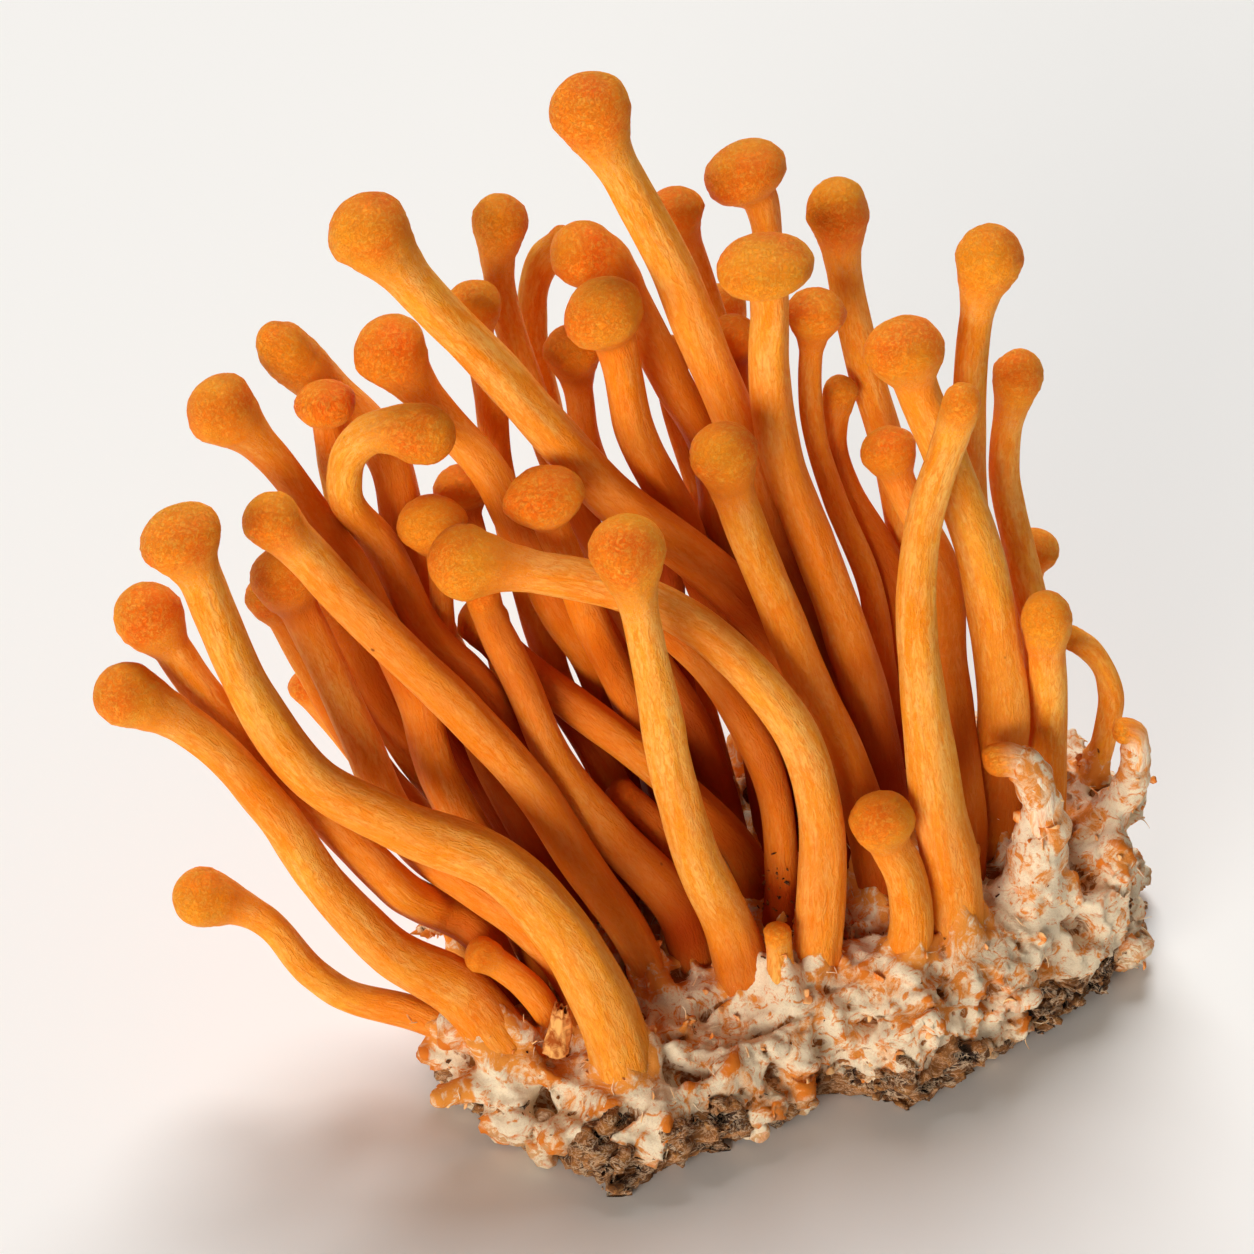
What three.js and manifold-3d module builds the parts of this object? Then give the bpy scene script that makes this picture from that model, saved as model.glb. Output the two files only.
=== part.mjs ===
// Cordyceps flower bunch: a clump of orange fruiting stalks grown together on one
// torn-off block of white mycelium with a thin crust of dark grain substrate under it.
// Frame: millimetres, +Z up, origin on the flat cut underside below the middle of the
// block, -Y towards the side with the lowest, widest stalks.

import * as THREE from 'three';
import { mergeVertices } from 'three/addons/utils/BufferGeometryUtils.js';
import Module from 'manifold-3d';

const wasm = await Module();
wasm.setup();

// ---------------------------------------------------------------- driving dimensions

const GAP = 0.3;                 // clearance between two pieces that touch
const SIDES = 8;                 // sides of a stalk's section
const STEP = 7;                  // longest stretch of stalk between two sections
const TURN = 0.4;                // largest bend between two sections, in radians
const SOCKET = 2.6;              // how deep a foot sits in the mycelium
const CRUST_TOP = 2;             // height of the grain crust
const MAT_BOTTOM = CRUST_TOP + GAP;
const AROUND = 52;               // corners of the block's outline

// Outline of the block where it rests, going round from its left end.
const BLOCK_OUTLINE = [
  [-26.3, -6.5], [-25, -12.5], [-21.9, -16.8], [-19, -18.6], [-16.2, -20.5], [-13.1, -22.8],
  [-10.1, -20.9], [-7, -18.7], [-2.8, -16.1], [0.2, -14], [2.2, -12], [4.8, -11.7], [7, -13],
  [9.4, -12.3], [12.5, -9.8], [15.7, -7.5], [18.9, -4.3], [22.1, -2.2], [25.2, 1.7],
  [26.9, 7], [27.2, 13], [23.3, 20.8], [13, 22.5], [4, 19.5], [-4.5, 15], [-13, 9.5],
  [-20.5, 3], [-25.2, -2],
];

// Height of the mycelium at the middle of the block, and how it rises along X and Y.
const MAT_HEIGHT = 9.6;
const MAT_RISE_X = 0.09;
const MAT_RISE_Y = 0.12;

// The line of sight through the bunch along which crowded stalks give way to each other.
const GIVE_WAY = new THREE.Vector3(0, 0.82, -0.57);
const SIDEWAYS_SHARE = 0.3;      // how far they also move apart across that line
const SETTLE_PASSES = 400;
const SAMPLE = 1.5;              // spacing of the beads that stand for a stalk here

const ORANGE = 0xe07a1c;
const CREAM = 0xe9d6b4;
const BROWN = 0x5b3a24;

// ---------------------------------------------------------------- the block

const outline = new THREE.CatmullRomCurve3(
  BLOCK_OUTLINE.map(([x, y]) => new THREE.Vector3(x, y, 0)), true,
);
const rim = outline.getSpacedPoints(AROUND).slice(0, AROUND);

// Top of the mycelium over (x, y), before it rounds off at the edge.
function matTop(x, y) {
  const ripple = 0.45 * Math.sin(0.7 * x + 1.1) * Math.cos(0.55 * y - 0.4);
  return MAT_HEIGHT + MAT_RISE_X * x + MAT_RISE_Y * y + ripple;
}

// A closed solid from rings of the block's outline: each ring is [share of the outline,
// height of a corner], and the first and last ring are closed over their middle.
function blockFromRings(rings, waviness) {
  const points = [];
  const faces = [];
  for (const [share, height] of rings) {
    rim.forEach((corner, k) => {
      const wave = 1 + waviness * Math.sin(3.7 * k) * Math.cos(1.3 * k + share * 9);
      const x = corner.x * share * wave;
      const y = corner.y * share * wave;
      points.push(x, y, height(x, y));
    });
  }
  for (let ring = 0; ring < rings.length - 1; ring += 1) {
    for (let k = 0; k < AROUND; k += 1) {
      const a = ring * AROUND + k;
      const b = ring * AROUND + (k + 1) % AROUND;
      faces.push(a, b, b + AROUND, a, b + AROUND, a + AROUND);
    }
  }
  const bottom = points.length / 3;
  points.push(0, 0, rings[0][1](0, 0));
  const top = bottom + 1;
  points.push(0, 0, rings[rings.length - 1][1](0, 0));
  const last = (rings.length - 1) * AROUND;
  for (let k = 0; k < AROUND; k += 1) {
    const next = (k + 1) % AROUND;
    faces.push(bottom, next, k);
    faces.push(top, last + k, last + next);
  }
  return closedGeometry(points, faces);
}

function closedGeometry(points, faces) {
  const geometry = new THREE.BufferGeometry();
  geometry.setAttribute('position', new THREE.Float32BufferAttribute(points, 3));
  geometry.setIndex(faces);
  return geometry;
}

function crustGeometry() {
  const flat = (z) => () => z;
  return blockFromRings([
    [0.95, flat(0)], [1.005, flat(0.7)], [1.01, flat(1.5)], [0.96, flat(CRUST_TOP)],
  ], 0.012);
}

function matGeometry() {
  const flat = (z) => () => z;
  const share = (part) => (x, y) => MAT_BOTTOM + part * (matTop(x, y) - MAT_BOTTOM);
  return blockFromRings([
    [0.95, flat(MAT_BOTTOM)], [0.99, share(0.16)], [1, share(0.45)], [0.975, share(0.74)],
    [0.91, share(0.93)], [0.78, share(1)], [0.55, share(1)], [0.28, share(1)],
  ], 0.014);
}

// ---------------------------------------------------------------- the stalks

// Shapes of a stalk's head up to its widest place, above which a dome closes it:
// [share of the head's length, share of its swelling].
const HEADS = {
  round: [[0, 0], [0.2, 0.4], [0.37, 0.78], [0.57, 1]],
  pear: [[0, 0], [0.25, 0.2], [0.46, 0.63], [0.67, 1]],
  cap: [[0, 0], [0.12, 0.4], [0.26, 0.84], [0.46, 1]],
  club: [[0, 0], [0.3, 0.5], [0.5, 0.8], [0.65, 1]],
};
const DOME = [0.45, 0.8];        // where sections sit between the widest place and the tip

// One stalk: `foot` is where it stands on the block, `route` the points of its middle
// line above that, ending at the tip. Radii in mm: at the foot, under the head, of the
// head; then the head's length and shape. A lopsided head has `wide`: how many times wider
// it is one way, and how many degrees that way is turned up from X.
const STALKS = [
  // the tall ones of the middle, front to back
  { name: 'stalk_tall_round', foot: [2.5, 9.5], r: [2, 1.6, 2.75], head: [8.5, 'pear'],
    wide: [1.12, 25],
    route: [[1.5, 10, 27], [-2, 10.5, 37.5], [-4.5, 11.5, 46], [-7.8, 13, 54], [-10.6, 14.5, 61],
      [-14.1, 15.5, 67], [-16.1, 16, 72.8]] },
  { name: 'stalk_tall_left', foot: [3.5, 5.5], r: [2.1, 1.65, 3], head: [8.2, 'pear'],
    route: [[3, 5.5, 18], [1, 6, 26], [-3, 6, 32.5], [-8.5, 5.5, 39], [-14.5, 5.5, 44],
      [-19, 5.5, 50], [-23.5, 6, 56], [-28.2, 6, 61.8], [-32.6, 6, 68]] },
  { name: 'stalk_slim_left', foot: [-4, 7], r: [1.5, 1.15, 2.15], head: [6.8, 'pear'],
    route: [[-8, 7, 22.5], [-14, 9, 33.5], [-18.4, 13, 43], [-20.8, 15.5, 50.4],
      [-22.2, 17, 55.4], [-21.9, 18, 61.7]] },
  { name: 'stalk_pale_crook', foot: [-7, 10], r: [1.4, 1.2, 1.2], head: [3, 'club'],
    route: [[-14.5, 12, 29.5], [-18.2, 18, 40], [-19.7, 21, 47.5], [-19.7, 22, 51],
      [-18.5, 22.5, 54], [-16.5, 23, 55.5]] },
  { name: 'stalk_nodding', foot: [0, 12.5], r: [1.6, 1.5, 2.55], head: [7.6, 'pear'],
    route: [[-1, 12.5, 24.5], [-4.5, 13.5, 36.5], [-8, 15, 45], [-10.9, 16, 50.2],
      [-12.2, 16.5, 53.2], [-14.1, 17, 56.3], [-18.1, 17, 58.3]] },
  { name: 'stalk_back_round', foot: [3.5, 16], r: [1.5, 1.25, 2.2], head: [5, 'pear'],
    route: [[-0.5, 17, 29.5], [-4, 19, 40.6], [-5.9, 21, 48.1], [-7.9, 22, 54.2],
      [-9.4, 22, 59.7]] },
  { name: 'stalk_back_cap', foot: [6.5, 18], r: [1.6, 1.3, 3.05], head: [4.6, 'cap'],
    wide: [1.14, 25],
    route: [[2, 17.5, 18], [0.5, 18, 30], [-1.4, 20, 41.6], [-2.1, 22, 50.2], [-2.2, 23.5, 56.9],
      [-5, 24, 62.2]] },
  { name: 'stalk_back_right', foot: [10, 15], r: [1.6, 1.25, 2.35], head: [8, 'pear'],
    route: [[9.5, 14.5, 19], [8.6, 16, 32.1], [6.8, 18, 41.7], [4.9, 19.5, 47.4],
      [3.5, 20.5, 54.4], [2.9, 21, 61.3]] },
  { name: 'stalk_broad_cap', foot: [7, 7.5], r: [2.2, 1.45, 3.6], head: [3.9, 'cap'],
    route: [[6, 7, 16], [5, 7, 24], [3, 7.5, 32.5], [-0.1, 8.5, 41], [-2.1, 9.5, 49.1],
      [-2.2, 10, 57.1], [-2.8, 10, 62.4]] },
  { name: 'stalk_middle_cap', foot: [-1, 6], r: [1.7, 1.5, 2.8], head: [5, 'cap'],
    wide: [1.14, 25],
    route: [[-2.5, 7.5, 21.5], [-6, 8.5, 32], [-9, 9, 39.5], [-12, 9.5, 46.5], [-13.2, 10, 53.4],
      [-15.2, 10, 58.8]] },
  { name: 'stalk_shaded_head', foot: [-4.5, 11], r: [1.4, 1.1, 2.2], head: [5.5, 'pear'],
    route: [[-7.5, 11, 21.5], [-11.5, 12, 33], [-15.5, 13, 43], [-16, 14, 46], [-17, 14, 52.5]] },
  { name: 'stalk_half_hidden', foot: [-9.5, 0.5], r: [1.5, 1.15, 2], head: [4.2, 'round'],
    route: [[-14.5, 3, 21.5], [-19.5, 6, 33.5], [-22, 9.5, 41.9], [-22.5, 11, 47.8],
      [-23.5, 12, 53.2], [-24, 12, 57.7]] },
  { name: 'stalk_thin_upright', foot: [9, 10.5], r: [1.1, 0.9, 2.25], head: [5.4, 'pear'],
    route: [[7.5, 11.5, 21], [6.5, 12, 29.5], [5, 12.5, 33], [3.5, 13, 36.9], [1.5, 13.5, 43.4],
      [1, 14, 50.2], [1.5, 14, 55.8]] },

  // the right side
  { name: 'stalk_right_arched', foot: [15.5, 4.5], r: [2.25, 1.65, 2.8], head: [5.2, 'round'],
    wide: [1.14, 8],
    route: [[15.5, 5, 17.5], [16, 5.5, 23.5], [15.5, 6, 28.5], [14.5, 6.5, 33.5], [13.3, 7, 38.7],
      [11.9, 8, 43.4], [9.8, 8.5, 47.3], [8.4, 9, 51.3], [7.1, 9, 56.1]] },
  { name: 'stalk_dark_head', foot: [13, 1.5], r: [1.6, 1.25, 2.1], head: [4, 'round'],
    route: [[13.5, 3.5, 18], [12.5, 5, 22], [12, 6.5, 29], [11.6, 8, 34], [9.2, 10, 38],
      [7.8, 11, 41], [6.3, 11, 45.5]] },
  { name: 'stalk_claw', foot: [13, 12], r: [1.4, 1.2, 1.3], head: [3, 'club'],
    route: [[9, 14, 23], [7.5, 15, 31], [5, 15.5, 35.5], [3.5, 16, 38.5], [2.8, 16.5, 42.5],
      [3.8, 17, 46.5]] },
  { name: 'stalk_right_upright', foot: [17, 10], r: [1.6, 1.25, 2.55], head: [7.8, 'pear'],
    route: [[16, 10.5, 21.5], [14, 12, 33], [12.9, 13, 41.9], [13, 13.5, 49.8], [13.3, 14, 54.1],
      [14.3, 14, 61.2]] },
  { name: 'stalk_right_back', foot: [20, 12.5], r: [1.5, 1.15, 1.95], head: [6.6, 'pear'],
    route: [[19.5, 12.5, 20.5], [18.5, 13.5, 28.5], [16.9, 14.5, 33.9], [16.1, 15, 37.8],
      [15.8, 15, 42.3], [17, 15, 50]] },
  { name: 'stalk_back_short', foot: [16.5, 16], r: [1.3, 1.1, 1.9], head: [3.5, 'round'],
    route: [[17.6, 17.5, 21.8], [18.5, 18.5, 27.2], [19.2, 19, 31.2]] },
  { name: 'stalk_plain_tip', foot: [12.4, -4.6], r: [2.5, 1.3, 1.4], head: [4, 'club'],
    route: [[11.6, -3.6, 16], [10.2, -2.4, 24], [9.2, 0, 31], [8.7, 1.5, 37], [9, 3, 42],
      [9.8, 3.5, 45.5], [11, 4, 49.5], [12, 4, 54]] },
  { name: 'stalk_short_right', foot: [19.5, 6.5], r: [1.5, 1.35, 1.9], head: [5.3, 'round'],
    route: [[19.6, 6, 17], [19.2, 6, 23], [18.6, 6, 28.5], [18.5, 6, 34.5]] },
  { name: 'stalk_right_curl', foot: [18, 0.5], r: [2.3, 1.15, 1.35], head: [3, 'club'],
    route: [[18.5, 0, 15.5], [18.5, 0, 19.5], [17.8, 0, 22], [16.2, 0, 23.5], [14.2, 0, 22.8]] },
  { name: 'stalk_edge_curl', foot: [23.5, 7], r: [1.5, 1, 1.05], head: [2.5, 'club'],
    route: [[25.7, 7.5, 15], [26.5, 7.5, 18], [26, 7.5, 20.5], [24.5, 7.5, 20.5]] },
  { name: 'stalk_edge_arch', foot: [23, 12], r: [1.1, 0.9, 1], head: [2.5, 'club'],
    route: [[23.8, 12, 15], [24.7, 12, 18.1], [24.6, 12, 21.6], [22.8, 12, 25.1],
      [20.4, 12, 26.6]] },

  // the front
  { name: 'stalk_front_round', foot: [6.5, 2], r: [1.8, 1.5, 2.45], head: [7, 'pear'],
    route: [[5.5, 1.5, 16.5], [3.3, 1.5, 23.5], [0, 2, 32], [-3, 2.5, 40.5], [-4.7, 3, 44.7],
      [-6, 3, 51]] },
  { name: 'stalk_front_tall_head', foot: [-3.3, -6.6], r: [2.2, 1.4, 2.75], head: [8.4, 'pear'],
    route: [[-5, -7.5, 13.5], [-6.7, -8, 18], [-8, -8.5, 22.5], [-9, -8.5, 27], [-10.5, -9, 36],
      [-11.4, -9, 41], [-13, -9, 51]] },
  { name: 'stalk_great_arc', foot: [1.5, -6.6], r: [1.95, 1.5, 2.75], head: [8.4, 'pear'],
    route: [[2, -6, 14.5], [2, -5, 21], [0.7, -4, 26.5], [-1.1, -3.5, 30.2], [-4, -3, 34.2],
      [-7.3, -3, 37.8], [-10.2, -3, 39.6], [-14.5, -3.5, 41.8], [-18.2, -4, 43], [-21, -4, 43.6],
      [-27, -4, 44.3]] },
  { name: 'stalk_inner_arc', foot: [-1.5, -2.5], r: [1.3, 1.2, 1.5], head: [3.5, 'round'],
    route: [[-0.9, -2, 15.3], [-1.1, -1.5, 19.5], [-3, -1, 24.5], [-5, -0.5, 29.5], [-8, 0, 33.5],
      [-12.5, 0.5, 37.5]] },
  { name: 'stalk_yellow_head', foot: [-9, 2.5], r: [1.5, 1.3, 2.35], head: [4.6, 'cap'],
    wide: [1.35, 18],
    route: [[-11, 4.3, 19.5], [-14, 3.7, 28.5], [-15.3, 2, 34.5], [-16.5, 1, 39.5], [-18, 1, 43.6],
      [-19.2, 1, 48.6]] },
  { name: 'stalk_red_head', foot: [-14, -3], r: [1.2, 0.9, 2.5], head: [4.8, 'round'],
    route: [[-22, -1, 21], [-25, 1, 28.5], [-26.2, 2, 36.5], [-26.5, 2.5, 40], [-27.3, 2.5, 45]] },
  { name: 'stalk_red_behind', foot: [-15.5, 1.5], r: [1.2, 1, 2.2], head: [4, 'round'],
    route: [[-21, 4, 24.5], [-23.3, 5.5, 34], [-24, 6, 41], [-24.6, 6, 45.5]] },
  { name: 'stalk_under_arc', foot: [-6.5, -4.5], r: [2.2, 1.2, 1.3], head: [3, 'club'],
    route: [[-8, -4, 11.5], [-10.2, -3.5, 14.6], [-13, -3, 18], [-16.4, -2.5, 22], [-18.5, -2, 26],
      [-20, -1, 30], [-22.2, -0.5, 35.5], [-23.5, -0.5, 39.5]] },
  { name: 'stalk_hooked', foot: [-11.5, -1], r: [1.7, 1.3, 2.2], head: [8.4, 'pear'],
    route: [[-16, 0, 17.5], [-20.5, 0.5, 24.5], [-23.5, 0.5, 29.5], [-26.2, 0.5, 33.5],
      [-28.7, 1, 37], [-33.2, 1, 47.5], [-32.6, 1, 50.2], [-30.9, 1, 51.9], [-28.4, 1, 52],
      [-25, 1, 51.1]] },

  // the left side
  { name: 'stalk_flat_cap', foot: [-17, -1.5], r: [1.3, 1.15, 2.15], head: [3.2, 'cap'],
    wide: [1.12, 10],
    route: [[-24, 2, 21.5], [-29, 4, 30], [-32.7, 6, 37.5], [-34, 7, 43], [-34.4, 8, 48.3],
      [-34.8, 8, 52]] },
  { name: 'stalk_big_dark_head', foot: [-9, 6], r: [1.5, 1.5, 2.75], head: [7.2, 'pear'],
    route: [[-12.5, 5, 21], [-16.7, 4.5, 31], [-20.6, 5, 40.6], [-23.6, 6.5, 45.6],
      [-26.7, 7.5, 49.7], [-31.2, 8, 56.7]] },
  { name: 'stalk_long_club', foot: [-12, 4], r: [1.5, 1.7, 2.05], head: [8, 'club'],
    route: [[-23.3, 3.5, 23.5], [-27, 4, 31.5], [-28.2, 5, 36], [-29.1, 6, 40.4],
      [-29.7, 7, 44.2], [-31.2, 8, 47.2], [-33.7, 9, 49.2], [-39.2, 10, 55.2]] },
  { name: 'stalk_left_round', foot: [-17, -8], r: [1.75, 1.4, 2.7], head: [7, 'pear'],
    route: [[-22.5, -6, 17], [-25.5, -4.5, 22], [-27, -3, 26], [-28, -2, 30.5], [-30.2, -1, 35],
      [-32.5, 0, 41.5], [-35.6, 2.5, 44.4], [-39.2, 3.5, 49.2], [-43.8, 4, 53.7]] },
  { name: 'stalk_long_straight', foot: [-9.5, -8], r: [1.5, 1.6, 2.1], head: [6, 'pear'],
    route: [[-13, -6.5, 13.6], [-15.3, -6, 17.2], [-17.5, -5.5, 20.5], [-19.6, -5, 24.5],
      [-22.5, -4.5, 28.5], [-26.1, -4, 32.6], [-29.9, -3.5, 36.8], [-35.8, -3, 43.9],
      [-39.4, -3, 48.6]] },
  { name: 'stalk_brown_head', foot: [-15.5, -11], r: [1.7, 1.45, 2.5], head: [5.2, 'round'],
    route: [[-17.5, -11, 11], [-19.6, -11, 15.4], [-21.8, -10, 17.4], [-26.2, -8.5, 18.6],
      [-29.1, -7, 21.5], [-31, -5, 26.3], [-33.4, -3, 30], [-35, -1.5, 33.6], [-36.6, -1, 37.7],
      [-38.3, -1, 42.8]] },
  { name: 'stalk_left_behind', foot: [-21.5, -3], r: [1.2, 1.1, 1.8], head: [4, 'round'],
    route: [[-26, -1, 15.5], [-31.4, 1, 21.3], [-35.6, 3, 28.1], [-38.3, 4, 33.5], [-39.9, 4, 37]] },
  { name: 'stalk_left_hidden', foot: [-19.5, -0.5], r: [1.8, 1.7, 2.1], head: [5, 'pear'],
    route: [[-25, 3, 15], [-28.4, 4, 19.8], [-31.5, 5, 27.2], [-34, 6, 35]] },
  { name: 'stalk_left_great_cap', foot: [-12.5, -14.8], r: [2.5, 1.6, 2.75], head: [6, 'pear'],
    wide: [1.16, 28],
    route: [[-15.3, -15, 14.7], [-18.2, -14, 19.3], [-21.8, -13, 23], [-25.5, -12.5, 24.5],
      [-29.1, -12, 26.3], [-34.2, -11, 28.7], [-37.8, -10, 32.5], [-40.2, -9, 37],
      [-41.8, -8.5, 41.2], [-42.8, -8, 44.5], [-45, -8, 50.8]] },
  { name: 'stalk_left_second', foot: [-20.5, -8.5], r: [1.8, 1.35, 2.5], head: [5.8, 'round'],
    route: [[-23.3, -9, 13.6], [-27, -9, 17.6], [-29.8, -9, 19.3], [-33.4, -9, 23],
      [-36.4, -9, 26.5], [-39.3, -8.5, 29.7], [-43.4, -8, 35.4], [-44.9, -7.5, 38],
      [-48.2, -7, 43.7]] },
  { name: 'stalk_left_lowest', foot: [-19, -11.5], r: [2.5, 1.4, 2.4], head: [7.4, 'pear'],
    route: [[-21.3, -12, 8.2], [-24.2, -12.6, 11.2], [-27.2, -12.8, 13.6], [-30.4, -13, 15.7],
      [-33.5, -12.5, 19.2], [-35.9, -12, 22.9], [-37.8, -11.5, 26.7], [-40, -11.5, 29.8],
      [-42.8, -11, 33], [-45.7, -11, 35.7], [-50.7, -11, 38.2]] },
  { name: 'stalk_trailing_thin', foot: [-22.8, -9.3], r: [1.4, 1.15, 2.3], head: [7, 'pear'],
    route: [[-27.5, -9.5, 6.2], [-31, -9, 6.6], [-34, -8, 7.4], [-35.9, -8, 8.9],
      [-38, -7.5, 12.1], [-41.2, -7, 14.6], [-46.5, -7, 16.4]] },
  { name: 'stalk_thin_point', foot: [-22.5, -0.5], r: [1.4, 1.3, 1.5], head: [3, 'club'],
    route: [[-27.7, 2, 15.2], [-31.8, 4, 19.9], [-35.9, 5.5, 25.1], [-37.5, 6, 27.1]] },
  { name: 'bud_left_edge', foot: [-23.5, -5], r: [0.9, 0.7, 0.95], head: [2, 'round'],
    route: [[-25.5, -4, 9], [-26.8, -3, 12]] },
  { name: 'bud_between_left', foot: [-18, -11.5], r: [1.3, 1.1, 1.4], head: [2.6, 'round'],
    route: [[-19.5, -11.5, 10.5], [-21.4, -11.5, 12.3], [-24.6, -11.5, 14.5]] },

  // low down between the others
  { name: 'stalk_diagonal', foot: [-2.5, 1], r: [1.4, 1.35, 1.9], head: [4.2, 'round'],
    route: [[-3.6, 0.5, 13.6], [-6.5, 0.5, 18], [-10.9, 1, 22], [-14.5, 2, 25.5], [-18.5, 3, 28],
      [-22.5, 3.5, 31.5], [-25.3, 4, 35]] },
  { name: 'bud_inner_club', foot: [-6, -1.5], r: [1.4, 1.25, 1.4], head: [3, 'club'],
    route: [[-8.7, -1.5, 14], [-9.8, -1.5, 16.8], [-11.6, -1, 19], [-14, -1, 21.3]] },
  { name: 'bud_stubby', foot: [8.3, -5.6], r: [1.8, 1.6, 2.4], head: [4.4, 'round'],
    route: [[8.9, -6, 12.8], [8.4, -5.5, 16.5], [6.9, -5, 19.3], [5.7, -5, 23.4]] },
  { name: 'bud_front_stub', foot: [-1, -8.6], r: [1.4, 1, 1.05], head: [2, 'club'],
    route: [[-1.2, -8.6, 10.8], [-1.4, -8.6, 14.4]] },
  { name: 'stalk_between_heads', foot: [5, 13], r: [1.3, 1.1, 1.8], head: [4, 'round'],
    route: [[0, 13.5, 26.5], [-3, 14.5, 38.5], [-4.4, 15.5, 47.5], [-5, 16, 52.5]] },
  { name: 'stalk_middle_dark', foot: [-2, 13], r: [1.3, 1.1, 1.8], head: [4, 'round'],
    route: [[-3, 14.5, 24.5], [-6.5, 15.5, 36], [-9, 17, 44.7], [-10, 18, 49.3]] },
  { name: 'stalk_rear', foot: [9, 19], r: [1.3, 1.1, 2], head: [4.4, 'round'],
    route: [[3, 21, 22], [-2.5, 23, 32.5], [-4.7, 26, 42.5], [-5.7, 27, 48.5]] },

  // the shaded ones inside the bunch
  { name: 'stalk_inner_left', foot: [-11.5, 6.5], r: [1.5, 1.15, 1.8], head: [4.6, 'pear'],
    route: [[-13.5, 8, 22], [-15.5, 9, 30], [-15.5, 10, 36.5]] },
  { name: 'stalk_inner_middle', foot: [-6, 8.5], r: [1.5, 1.15, 1.9], head: [4.8, 'pear'],
    route: [[-8, 9.5, 20.5], [-9.5, 10.5, 29.5], [-9, 11.5, 38]] },
  { name: 'stalk_inner_right', foot: [1.5, 10], r: [1.4, 1.1, 1.8], head: [4.6, 'pear'],
    route: [[0, 12.5, 21.5], [-2.5, 13.5, 31], [-3, 14, 38.5]] },
];

// The middle line of a stalk as beads, each with the radius of the stalk there.
function beadsOf(stalk) {
  const [x, y] = stalk.foot;
  const [footRadius] = stalk.r;
  const foot = new THREE.Vector3(x, y, Math.max(matTop(x, y) - SOCKET, MAT_BOTTOM + footRadius));
  const route = stalk.route.map((point) => new THREE.Vector3(...point));
  const curve = new THREE.CatmullRomCurve3([foot, ...route], false, 'centripetal');
  const length = curve.getLength();
  const count = Math.max(4, Math.round(length / SAMPLE));
  return curve.getSpacedPoints(count).map((point, k) => {
    const distance = length * k / count;
    const [wider] = wideningAt(stalk, length, distance);
    return { point, radius: radiusAt(stalk, length, distance) * wider };
  });
}

// Radius of a stalk at a distance from its foot, head included.
function radiusAt(stalk, length, distance) {
  const [footRadius, neckRadius, headRadius] = stalk.r;
  const [headLength, headShape] = stalk.head;
  const headStart = length - headLength;
  if (distance <= headStart) {
    const up = distance / headStart;
    return footRadius + (neckRadius - footRadius) * (1 - (1 - up) ** 1.6);
  }
  const shape = HEADS[headShape];
  const along = (distance - headStart) / headLength;
  const [widest] = shape[shape.length - 1];
  if (along >= widest) {
    return headRadius * Math.sqrt(Math.max(0, 1 - ((along - widest) / (1 - widest)) ** 2));
  }
  const next = shape.findIndex(([share]) => share > along);
  const [fromShare, fromSwell] = shape[next - 1];
  const [toShare, toSwell] = shape[next];
  const swell = fromSwell + (toSwell - fromSwell) * (along - fromShare) / (toShare - fromShare);
  return neckRadius + (headRadius - neckRadius) * swell;
}

// How many times wider a lopsided head is at a distance from the foot, and which way.
function wideningAt(stalk, length, distance) {
  const [widest, turn] = stalk.wide ?? [1, 0];
  const [headLength] = stalk.head;
  const share = THREE.MathUtils.clamp(2 * (distance - length + headLength) / headLength, 0, 1);
  const angle = THREE.MathUtils.degToRad(turn);
  return [1 + (widest - 1) * share, new THREE.Vector3(Math.cos(angle), 0, Math.sin(angle))];
}

// Lets the stalks give way to one another until any two keep the gap, as they do when
// they grow through each other: mostly front to back, a little sideways.
function settle(strings) {
  for (let pass = 0; pass < SETTLE_PASSES; pass += 1) {
    const moves = strings.map((beads) => beads.map(() => new THREE.Vector3()));
    let crowded = 0;
    for (let a = 0; a < strings.length; a += 1) {
      for (let b = a + 1; b < strings.length; b += 1) {
        crowded += pushApart(strings[a], strings[b], moves[a], moves[b]);
      }
    }
    if (crowded === 0) {
      return pass;
    }
    strings.forEach((beads, k) => applyMoves(beads, moves[k]));
  }
  return SETTLE_PASSES;
}

function pushApart(beadsA, beadsB, movesA, movesB) {
  const apart = new THREE.Vector3();
  let crowded = 0;
  beadsA.forEach((beadA, i) => {
    beadsB.forEach((beadB, j) => {
      const wanted = beadA.radius + beadB.radius + 1.5 * GAP;
      apart.subVectors(beadA.point, beadB.point);
      const distance = apart.length();
      if (distance >= wanted) {
        return;
      }
      crowded += 1;
      const deep = apart.dot(GIVE_WAY);
      const across = apart.clone().addScaledVector(GIVE_WAY, -deep);
      const push = GIVE_WAY.clone().multiplyScalar(deep < 0 ? -1 : 1);
      push.addScaledVector(across.normalize(), SIDEWAYS_SHARE);
      push.multiplyScalar(0.25 * (wanted - distance));
      movesA[i].add(push);
      movesB[j].sub(push);
    });
  });
  return crowded;
}

// Moves the beads, each shared with its neighbours so that the stalk bends evenly.
function applyMoves(beads, moves) {
  const last = beads.length - 1;
  for (let spread = 0; spread < 3; spread += 1) {
    const before = moves.map((move) => move.clone());
    for (let k = 0; k <= last; k += 1) {
      moves[k].addScaledVector(before[Math.max(0, k - 1)], 0.5);
      moves[k].addScaledVector(before[Math.min(last, k + 1)], 0.5);
      moves[k].multiplyScalar(0.5);
    }
  }
  beads.forEach((bead, k) => {
    bead.point.x += moves[k].x;
    bead.point.y += moves[k].y;
    if (k > 1) {
      bead.point.z += moves[k].z;
    }
  });
}

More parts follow.
